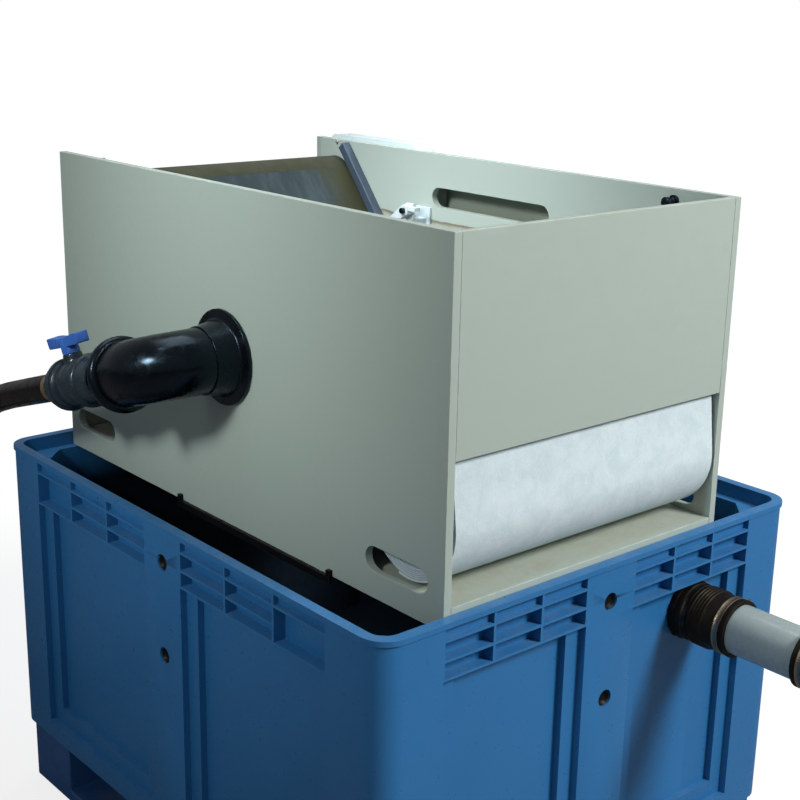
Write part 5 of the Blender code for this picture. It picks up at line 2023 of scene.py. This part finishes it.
@dataclass
class Hose(Assembly):
    """The supply hose with its tail, clamp and end fitting."""

    radius: float = 0.027
    start: float = 0.3725
    straight: float = 0.450
    route: tuple[Point, ...] = (
        (-0.4950, 0.510, 0.8820), (-0.4950, 0.590, 0.8560), (-0.4950, 0.665, 0.8250),
        (-0.4955, 0.730, 0.7760), (-0.4970, 0.778, 0.7020), (-0.5000, 0.802, 0.6000),
        (-0.5050, 0.812, 0.4800), (-0.5150, 0.815, 0.3600), (-0.5370, 0.815, 0.2450),
        (-0.5820, 0.812, 0.1450), (-0.6560, 0.806, 0.0720), (-0.7500, 0.800, 0.0370),
        (-0.8500, 0.797, 0.0290), (-0.9500, 0.796, 0.0290))
    steps: int = 6

    def centre_line(self) -> list[Vector]:
        """Points of a smooth curve from the hose tail to the end fitting.

        Returns:
            The points in order.
        """
        spots = [CORNER + RUN * self.start, CORNER + RUN * self.straight] + [Vector(p) for p in self.route]
        ends = [2 * spots[0] - spots[1]] + spots + [2 * spots[-1] - spots[-2]]
        line = []
        for i in range(1, len(ends) - 2):
            a, b, c, d = ends[i - 1:i + 3]
            for k in range(self.steps):
                t = k / self.steps
                line.append(0.5 * (2 * b + (c - a) * t + (2 * a - 5 * b + 4 * c - d) * t * t
                                   + (3 * b - a - 3 * c + d) * t ** 3))
        return line + [spots[-1]]

    def build(self) -> None:
        line = self.centre_line()
        curve = bpy.data.curves.new("supply_hose", "CURVE")
        curve.dimensions = "3D"
        curve.bevel_depth = self.radius
        curve.bevel_resolution = 9
        curve.use_fill_caps = True
        spline = curve.splines.new("POLY")
        spline.points.add(len(line) - 1)
        for spot, point in zip(spline.points, line):
            spot.co = (*point, 1)
        hose = bpy.data.objects.new("supply_hose", curve)
        bpy.context.scene.collection.objects.link(hose)
        Bench.hand_over(hose, HOSE_SKIN, Body.FILTER, Slot.RUBBER, "hose")
        fitting = self.fitting(line)
        self.tail()

    def fitting(self, line: list[Vector]) -> Piece:
        """The sleeve nut at the hose's far end.

        Args:
            line: The hose's middle line.

        Returns:
            The nut.
        """
        frame = frame_along(line[-1], line[-1] - line[-2])
        profile = [(0.0200, 0.0006), (0.0262, 0.0006), (0.0268, 0.0015), (0.0268, 0.034), (0.0262, 0.036),
                   (0.0258, 0.037), (0.0258, 0.058), (0.0250, 0.060), (0.0200, 0.060)]
        obj = Bench.turned("hose_fitting_nut", profile, frame, 48, 0.0)
        Bench.raised_ribs(obj, frame, 0.003, 0.033, 0.0262, 0.0014, 2, 48)
        Bench.ease(obj, 0.0)
        return Bench.hand_over(obj, VALVE_GREY, Body.FILTER, Slot.VALVE, "hose_fitting")

    def tail(self) -> None:
        """The tail that the hose is pushed on, and its clamp."""
        run = frame_along(CORNER, RUN)
        end = self.start - CLEARANCE
        profile = [(0.0180, 0.3500), (0.0355, 0.3500), (0.0360, 0.3506), (0.0360, 0.3555), (0.0350, 0.3570),
                   (0.0305, 0.3600), (0.0300, 0.3620), (0.0300, end), (0.0180, end)]
        self.turned("hose_tail", profile, run, VALVE_GREY, Slot.VALVE)
        Clamp("hose_clamp", run, self.radius + 0.0006, 0.3840, finish=TAN_BAND,
              housing_angle=math.radians(70)).build()


@dataclass
class Drain(Assembly):
    """Tank connector, ridged coupling with its clamps, pipe and end sleeve."""

    centre: tuple[float, float] = (0.240, 0.604)
    pipe_r: float = 0.045
    bore: float = 0.0415

    def build(self) -> None:
        """Make the drain's pieces."""
        frame = frame_along((self.centre[0], 0, self.centre[1]), (0, -1, 0))
        self.connector(frame)
        self.coupling(frame)
        pipe = [(self.bore, 0.6285), (self.pipe_r, 0.6285), (self.pipe_r, 0.8735),
                (self.pipe_r - 0.0015, 0.875), (self.bore, 0.875)]
        self.turned("outlet_pipe", pipe, frame, PIPE_GREY, Slot.PIPE, steps=64)
        self.sleeve(frame)

    def connector(self, frame: Matrix) -> None:
        """The flanged connector through the wall and its lugged nut.

        Args:
            frame: The drain's frame.
        """
        flange = 0.5607
        profile = [(self.bore, flange - 0.011), (0.0612, flange - 0.011), (0.062, flange - 0.010),
                   (0.062, flange), (self.pipe_r, flange), (self.pipe_r, 0.628), (self.bore, 0.628)]
        self.turned("outlet_connector", profile, frame, PIPE_GREY, Slot.PIPE, steps=64)
        low, high = 0.5713, 0.5833
        ring = [(0.0455, low), (0.0535, low), (0.0540, low + 0.0008), (0.0540, high - 0.0008), (0.0535, high),
                (0.0455, high)]
        nut = Bench.turned("outlet_nut_lugged", ring, frame, 64, 0.0)
        Bench.raised_ribs(nut, frame, low + 0.0009, high - 0.0009, 0.0530, 0.0018, 4, 64)
        Bench.ease(nut, 0.0)
        Bench.hand_over(nut, DULL_BLACK, Body.FILTER, Slot.BLACK, "outlet_nut")

    def coupling(self, frame: Matrix) -> None:
        """The rubber coupling with moulded ridges between its clamp seats.

        Args:
            frame: The drain's frame.
        """
        inner = self.pipe_r + 0.0005
        profile = [(inner, 0.5838), (0.0528, 0.5838), (0.0535, 0.5846), (0.0535, 0.5945), (0.0527, 0.5955),
                   (0.0515, 0.5962), (0.0515, 0.6100), (0.0528, 0.6112)]
        ridge, first, count = 0.0062, 0.6130, 5
        for k in range(count):
            at = first + ridge * k
            profile += [(0.0531, at), (0.0545, at + 0.0012), (0.0545, at + 0.0038), (0.0531, at + 0.0050)]
        profile += [(0.0522, 0.6455), (0.0508, 0.6600), (0.0505, 0.6645), (0.0505, 0.6805), (0.0512, 0.6838),
                    (0.0525, 0.6855), (0.0525, 0.6890), (0.0518, 0.6900), (inner, 0.6900)]
        self.turned("outlet_coupling", profile, frame, RUBBER, Slot.RUBBER, steps=72, round_off=0.0002)
        Clamp("clamp_tank_end", frame, 0.0520, 0.5968, finish=BLACKED,
              housing_angle=math.radians(-115)).build()
        Clamp("clamp_pipe_end", frame, 0.0510, 0.6660, housing_angle=math.radians(-65)).build()

    def sleeve(self, frame: Matrix) -> None:
        """The sleeve for the next pipe, with one clamp.

        Args:
            frame: The drain's frame.
        """
        inner = self.pipe_r + 0.0005
        profile = [(inner, 0.8255), (0.0520, 0.8255), (0.0525, 0.8262), (0.0525, 0.8305), (0.0505, 0.8335),
                   (0.0505, 0.8500), (0.0530, 0.8545)]
        for k in range(4):
            at = 0.8600 + 0.0115 * k
            profile += [(0.0530, at), (0.0535, at + 0.0010), (0.0535, at + 0.0060), (0.0530, at + 0.0070)]
        profile += [(0.0530, 0.9240), (0.0520, 0.9250), (inner, 0.9250)]
        self.turned("outlet_sleeve", profile, frame, RUBBER, Slot.RUBBER, steps=72, round_off=0.0002)
        Clamp("sleeve_clamp", frame, 0.0510, 0.8356, housing_angle=math.radians(-65)).build()


# Setting -------------------------------------------------------------------
@dataclass(frozen=True)
class Viewpoint:
    """The camera, by its place and its three angles in degrees."""

    place: Point = (-1.6672, -1.9962, 1.6545)
    azimuth: float = -41.30
    elevation: float = 16.09
    roll: float = 1.31
    lens: float = 63.27
    shift: tuple[float, float] = (-0.0216, -0.00175)
    sensor: float = 36
    clip: tuple[float, float] = (0.05, 200)

    def build(self) -> None:
        """Make the camera the scene's camera."""
        az, el, roll = (math.radians(a) for a in (self.azimuth, self.elevation, self.roll))
        right = Vector((math.cos(az), math.sin(az), 0))
        back = Vector((math.sin(az) * math.cos(el), -math.cos(az) * math.cos(el), math.sin(el)))
        up = back.cross(right)
        across = right * math.cos(roll) + up * math.sin(roll)
        above = up * math.cos(roll) - right * math.sin(roll)
        data = bpy.data.cameras.new("camera")
        data.lens, data.sensor_width = self.lens, self.sensor
        data.shift_x, data.shift_y = self.shift
        data.clip_start, data.clip_end = self.clip
        camera = bpy.data.objects.new("camera", data)
        turn = Matrix((across, above, back)).transposed().to_4x4()
        camera.matrix_world = Matrix.Translation(self.place) @ turn
        bpy.context.scene.collection.objects.link(camera)
        bpy.context.scene.camera = camera


@dataclass(frozen=True)
class Lamp:
    """One square soft light: its place, watts, side, beam in degrees and what it looks at."""

    name: str
    place: Point
    power: float
    size: float
    colour: Colour
    spread: float = 180
    target: Point = (0, 0, 0.8)

    def build(self) -> None:
        """Hang the light."""
        data = bpy.data.lights.new(self.name, "AREA")
        data.energy, data.size, data.color = self.power, self.size, self.colour
        data.spread = math.radians(self.spread)
        light = bpy.data.objects.new(self.name, data)
        light.location = self.place
        aim = Vector(self.target) - Vector(self.place)
        light.rotation_euler = aim.to_track_quat("-Z", "Y").to_euler()
        bpy.context.scene.collection.objects.link(light)


@dataclass(frozen=True)
class Studio:
    """Floor, soft lights and a pale surround."""

    surround: Colour = (0.93, 0.96, 1.0)
    surround_strength: float = 0.25
    floor_size: float = 80.0
    lamps: tuple[Lamp, ...] = (
        Lamp("key_light", (1.4, -3.6, 3.4), 205, 1.1, (1.0, 0.985, 0.95)),
        Lamp("fill_light", (-3.6, -0.6, 3.2), 3.7, 0.7, (0.94, 0.98, 0.95), 28, (-0.36, 0.06, 1.27)),
        Lamp("sky_light", (-1.1, 0.1, 3.3), 2.0, 0.5, (0.90, 0.97, 1.0), 28, (0.20, 0.1, 1.25)),
        Lamp("top_light", (0.2, 0.6, 4.2), 50, 2.4, (0.95, 0.98, 1.0)))

    def build(self) -> None:
        """Make the floor, the lights and the world."""
        Bench.clear()
        bpy.ops.mesh.primitive_plane_add(size=self.floor_size)
        floor = Bench.named("floor")
        floor.data.materials.append(material_of(Ground()))
        for lamp in self.lamps:
            lamp.build()
        world = bpy.data.worlds.new("surround")
        world.use_nodes = True
        nodes, links = world.node_tree.nodes, world.node_tree.links
        ambient = nodes["Background"]
        ambient.inputs["Color"].default_value = (*self.surround, 1)
        ambient.inputs["Strength"].default_value = self.surround_strength
        kinds = ("Background", "LightPath", "MixShader")
        backdrop, seen, mix = (nodes.new(f"ShaderNode{kind}") for kind in kinds)
        backdrop.inputs["Color"].default_value = (1, 1, 1, 1)
        links.new(seen.outputs["Is Camera Ray"], mix.inputs[0])
        links.new(ambient.outputs[0], mix.inputs[1])
        links.new(backdrop.outputs[0], mix.inputs[2])
        links.new(mix.outputs[0], nodes["World Output"].inputs["Surface"])
        bpy.context.scene.world = world
        bpy.context.scene.view_settings.view_transform = "Standard"


def main() -> None:
    """Build the looks in order."""
    logging.basicConfig(level=logging.INFO, format="%(name)s: %(message)s")
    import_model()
    Viewpoint().build()
    Hose().build()
    Drain().build()
    Inlet().build()
    Valve().build()
    SupplyRoll().build()
    TakeUp().build()
    FleecePath().build()
    FilterBox().build()
    Drive().build()
    FloatSwitch().build()
    Tank().build()
    Studio().build()


if __name__ == "__main__":
    main()
